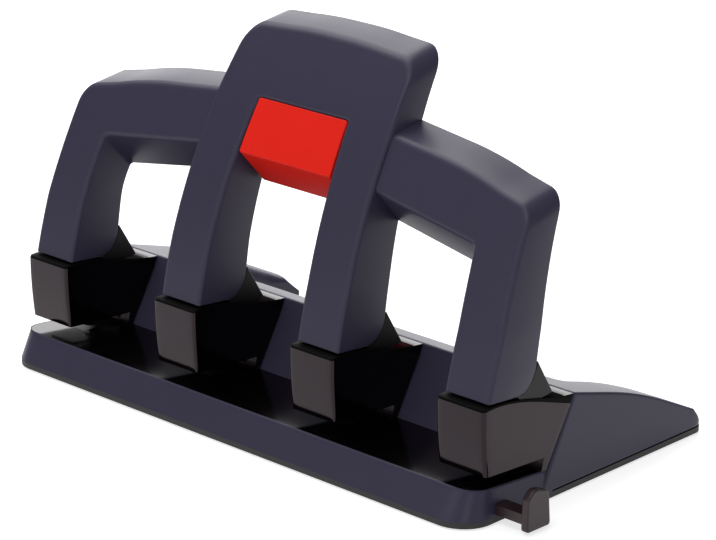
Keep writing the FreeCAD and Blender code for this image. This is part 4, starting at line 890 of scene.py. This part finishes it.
def finish(name, color, roughness, grain, grain_scale, depth=0.02, metallic=0.0, mottle=0.06,
           streak=(1.0, 1.0, 1.0), specular=0.5, tint=(1.0, 1.0, 1.0)):
    """Material of one colour with a fine mottle in colour and roughness, and a moulded grain.

    Noise on object coordinates drives all three: the colour runs between color * (1 - mottle)
    and color * (1 + mottle), and the grain stands depth millimetres high.  streak scales
    the noise along each axis, as on brushed steel.
    """
    material = bpy.data.materials.new(name)
    material.use_nodes = True
    nodes, links = material.node_tree.nodes, material.node_tree.links
    shader = nodes["Principled BSDF"]
    shader.inputs["Metallic"].default_value = metallic
    shader.inputs["Specular IOR Level"].default_value = specular
    shader.inputs["Specular Tint"].default_value = tint + (1.0,)
    place = nodes.new("ShaderNodeTexCoord")
    mapping = nodes.new("ShaderNodeMapping")
    mapping.inputs["Scale"].default_value = streak
    links.new(place.outputs["Object"], mapping.inputs["Vector"])
    broad = nodes.new("ShaderNodeTexNoise")
    broad.inputs["Scale"].default_value = grain_scale / BROAD_GRAIN
    broad.inputs["Detail"].default_value = BROAD_DETAIL
    fine = nodes.new("ShaderNodeTexNoise")
    fine.inputs["Scale"].default_value = grain_scale
    fine.inputs["Detail"].default_value = FINE_DETAIL
    for node in (broad, fine):
        links.new(mapping.outputs["Vector"], node.inputs["Vector"])
    shade = nodes.new("ShaderNodeMix")
    shade.data_type = "RGBA"
    shade.inputs[6].default_value = tuple(c * (1 - mottle) for c in color) + (1.0,)
    shade.inputs[7].default_value = tuple(min(1.0, c * (1 + mottle)) for c in color) + (1.0,)
    links.new(broad.outputs["Fac"], shade.inputs[0])
    links.new(shade.outputs[2], shader.inputs["Base Color"])
    rough = nodes.new("ShaderNodeMapRange")
    rough.inputs["To Min"].default_value = roughness * (1 - ROUGHNESS_SPREAD)
    rough.inputs["To Max"].default_value = roughness * (1 + ROUGHNESS_SPREAD)
    links.new(fine.outputs["Fac"], rough.inputs["Value"])
    links.new(rough.outputs["Result"], shader.inputs["Roughness"])
    bump = nodes.new("ShaderNodeBump")
    bump.inputs["Strength"].default_value = grain
    bump.inputs["Distance"].default_value = depth * MM
    links.new(fine.outputs["Fac"], bump.inputs["Height"])
    links.new(bump.outputs["Normal"], shader.inputs["Normal"])
    return material


# Colour, roughness, then the grain's strength, scale and height; steel adds metal, mottle and streak.
SATIN_PLASTIC = finish("satin_grey_plastic", (0.036, 0.032, 0.058), 0.38, 0.35, 1500.0, 0.03,
                       specular=0.20)
GLOSS_BLACK = finish("gloss_black_plastic", (0.0012, 0.0008, 0.0009), 0.10, 0.05, 300.0, 0.01,
                     specular=0.30, tint=(1.0, 0.77, 0.88))
# The rim is matt black plastic whose colour and specular are held near zero, as painted shade for the gap
# under the roof and for the mouth.
PAINTED_SHADE_RIM = finish("rim_black_with_painted_shade", (0.0006, 0.0006, 0.0006), 0.6, 0.1, 900.0, 0.01, specular=0.05)
MATT_BLACK = finish("matt_black_plastic", (0.008, 0.008, 0.009), 0.6, 0.4, 1400.0, 0.03)
RUBBER = finish("foot_rubber", (0.012, 0.012, 0.012), 0.8, 0.5, 1800.0, 0.04)
RED_PLASTIC = finish("red_plastic", (0.74, 0.016, 0.008), 0.38, 0.1, 900.0, mottle=0.04, specular=0.12)
ZINC_STEEL = finish("zinc_steel", (0.55, 0.56, 0.58), 0.32, 0.15, 500.0, 0.01, 1.0, 0.08, (1, 1, 8))
HARD_STEEL = finish("ground_steel", (0.62, 0.62, 0.64), 0.18, 0.1, 700.0, 0.01, 1.0, 0.05, (1, 1, 12))
SPRING_STEEL = finish("spring_steel", (0.42, 0.42, 0.45), 0.25, 0.1, 700.0, 0.01, 1.0, 0.08)
SCREW_STEEL = finish("screw_steel", (0.50, 0.50, 0.52), 0.3, 0.15, 700.0, 0.01, 1.0, 0.08)
BLACK_STEEL = finish("blackened_steel", (0.012, 0.012, 0.013), 0.35, 0.15, 700.0, 0.01, 0.6, 0.08)
TRAY_PLASTIC = finish("tray_plastic", (0.03, 0.029, 0.04), 0.5, 0.35, 1400.0, 0.03)
GUIDE_PLASTIC = finish("guide_plastic", (0.022, 0.010, 0.012), 0.38, 0.3, 1400.0, specular=0.4)
DRUM_PLASTIC = finish("drum_plastic", (0.0015, 0.0013, 0.0014), 0.35, 0.2, 1400.0, specular=0.2)
COVER_PLASTIC = finish("cover_plastic", (0.034, 0.031, 0.052), 0.5, 0.4, 1400.0, 0.03, specular=0.2)

BY_SLOT = {"satin_plastic": SATIN_PLASTIC, "gloss_black": GLOSS_BLACK, "zinc_steel": ZINC_STEEL,
           "matt_black": MATT_BLACK, "foot_rubber": RUBBER, "screw_steel": SCREW_STEEL,
           "tray_plastic": TRAY_PLASTIC, "guide_plastic": GUIDE_PLASTIC, "spring_steel": SPRING_STEEL,
           "dark_plastic": COVER_PLASTIC, "red_plastic": RED_PLASTIC, "hard_steel": HARD_STEEL,
           "drum_plastic": DRUM_PLASTIC, "black_steel": BLACK_STEEL}


def paint_nodes():
    """Gives every node of the model the finish of its slot."""
    for part in frame["record"]["subparts"]:
        node = NODES[part["node"]]
        material = BY_SLOT[part["material_slot"]]
        if not node.material_slots:
            node.data.materials.append(material)
        for place in node.material_slots:
            place.material = material


# ---- stage ------------------------------------------------------------------------------------------
SKY_COLOR = (0.80, 0.82, 0.86, 1)
SKY_STRENGTH = 0.31
FLOOR_HALF = 6.0
FLOOR_COLOR = (0.62, 0.62, 0.62, 1)
FLOOR_ROUGHNESS = 0.9
FLOOR_GLOW = 0.68


def sky():
    """Dim sky that lights the object, and a white backdrop where the camera sees it."""
    world = bpy.data.worlds.new("studio")
    bpy.context.scene.world = world
    world.use_nodes = True
    nodes, links = world.node_tree.nodes, world.node_tree.links
    dim = nodes["Background"]
    dim.inputs["Color"].default_value = SKY_COLOR
    dim.inputs["Strength"].default_value = SKY_STRENGTH
    white = nodes.new("ShaderNodeBackground")
    white.inputs["Color"].default_value = (1, 1, 1, 1)
    white.inputs["Strength"].default_value = 1.0
    rays = nodes.new("ShaderNodeLightPath")
    mix = nodes.new("ShaderNodeMixShader")
    links.new(rays.outputs["Is Camera Ray"], mix.inputs["Fac"])
    links.new(dim.outputs[0], mix.inputs[1])
    links.new(white.outputs[0], mix.inputs[2])
    links.new(mix.outputs[0], nodes["World Output"].inputs["Surface"])


def floor():
    """Pale floor, with a glow that only the camera and reflections see."""
    mesh = bpy.data.meshes.new("floor")
    mesh.from_pydata([(-FLOOR_HALF, -FLOOR_HALF, 0), (FLOOR_HALF, -FLOOR_HALF, 0),
                      (FLOOR_HALF, FLOOR_HALF, 0), (-FLOOR_HALF, FLOOR_HALF, 0)], [], [(0, 1, 2, 3)])
    sheet = bpy.data.objects.new("floor", mesh)
    bpy.context.scene.collection.objects.link(sheet)
    material = bpy.data.materials.new("pale_floor")
    material.use_nodes = True
    nodes, links = material.node_tree.nodes, material.node_tree.links
    shader = nodes["Principled BSDF"]
    shader.inputs["Base Color"].default_value = FLOOR_COLOR
    shader.inputs["Roughness"].default_value = FLOOR_ROUGHNESS
    glow = nodes.new("ShaderNodeEmission")
    glow.inputs["Strength"].default_value = FLOOR_GLOW
    dark = nodes.new("ShaderNodeEmission")
    dark.inputs["Strength"].default_value = 0.0
    rays = nodes.new("ShaderNodeLightPath")
    seen = nodes.new("ShaderNodeMath")
    seen.operation = "MAXIMUM"
    choose = nodes.new("ShaderNodeMixShader")
    add = nodes.new("ShaderNodeAddShader")
    links.new(rays.outputs["Is Camera Ray"], seen.inputs[0])
    links.new(rays.outputs["Is Glossy Ray"], seen.inputs[1])
    links.new(seen.outputs[0], choose.inputs["Fac"])
    links.new(dark.outputs[0], choose.inputs[1])
    links.new(glow.outputs[0], choose.inputs[2])
    links.new(choose.outputs[0], add.inputs[0])
    links.new(shader.outputs[0], add.inputs[1])
    links.new(add.outputs[0], nodes["Material Output"].inputs["Surface"])
    mesh.materials.append(material)


LAMP_TARGET = (0.0, -0.02, 0.07)
LAMPS = (("overhead_softbox", (-0.6, 0.25, 1.15), 1.0, 14.0),
         ("high_front_softbox", (0.25, -0.65, 1.2), 0.7, 5.0),
         ("front_fill", (-0.2, -1.5, 0.50), 1.0, 4.5),
         ("right_softbox", (1.5, 0.15, 0.40), 0.9, 1.8),
         ("edge_softbox", (1.35, -1.25, 0.38), 0.35, 3.2),
         ("back_softbox", (-1.0, 1.15, 0.42), 1.2, 10.5))


def lamp(name, place, size, power):
    """Square softbox that faces the object, size metres wide and power watts strong."""
    data = bpy.data.lights.new(name, "AREA")
    data.shape = "SQUARE"
    data.size = size
    data.energy = power
    light = bpy.data.objects.new(name, data)
    light.location = place
    light.rotation_euler = (Vector(LAMP_TARGET) - Vector(place)).to_track_quat("-Z", "Y").to_euler()
    bpy.context.scene.collection.objects.link(light)


CAMERA_LENS = 150.1
CAMERA_SENSOR = 36.0
CAMERA_REACH = 50.0
CAMERA_PLACE = (0.82095, -0.87728, 0.45962)
CAMERA_TURN = (71.4967, -0.9504, 43.3186)   # degrees


def camera():
    """Camera at the front right, looking a little down, with a long lens."""
    data = bpy.data.cameras.new("camera")
    data.lens = CAMERA_LENS
    data.sensor_width = CAMERA_SENSOR
    data.sensor_fit = "HORIZONTAL"
    data.clip_end = CAMERA_REACH
    place = bpy.data.objects.new("camera", data)
    place.location = CAMERA_PLACE
    place.rotation_euler = [math.radians(angle) for angle in CAMERA_TURN]
    bpy.context.scene.collection.objects.link(place)
    bpy.context.scene.camera = place


# ---- making ---------------------------------------------------------------------------------------------
bpy.context.scene.view_settings.view_transform = "Standard"
camera()
sky()
floor()
for row in LAMPS:
    lamp(*row)
paint_nodes()

shell = handle_shell_piece(SATIN_PLASTIC)
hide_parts("handle_shell")

cover = rear_cover_piece(COVER_PLASTIC)
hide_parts("handle_back")

block = red_block_piece(RED_PLASTIC)
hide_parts("red_block")

base = base_shell_piece(SATIN_PLASTIC)
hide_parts("base_shell")

for number in (1, 2, 3, 4):
    tower = tower_piece(number, GLOSS_BLACK, PAINTED_SHADE_RIM)
    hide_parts("tower_cover_%d" % number)
    drum = drum_cover_piece(number, DRUM_PLASTIC)
    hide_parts("drum_cover_%d" % number)
    coil = spring_piece(number, SPRING_STEEL)
    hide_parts("return_spring_%d" % number)

stop = guide_stop_piece(GUIDE_PLASTIC)
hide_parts("guide_stop")
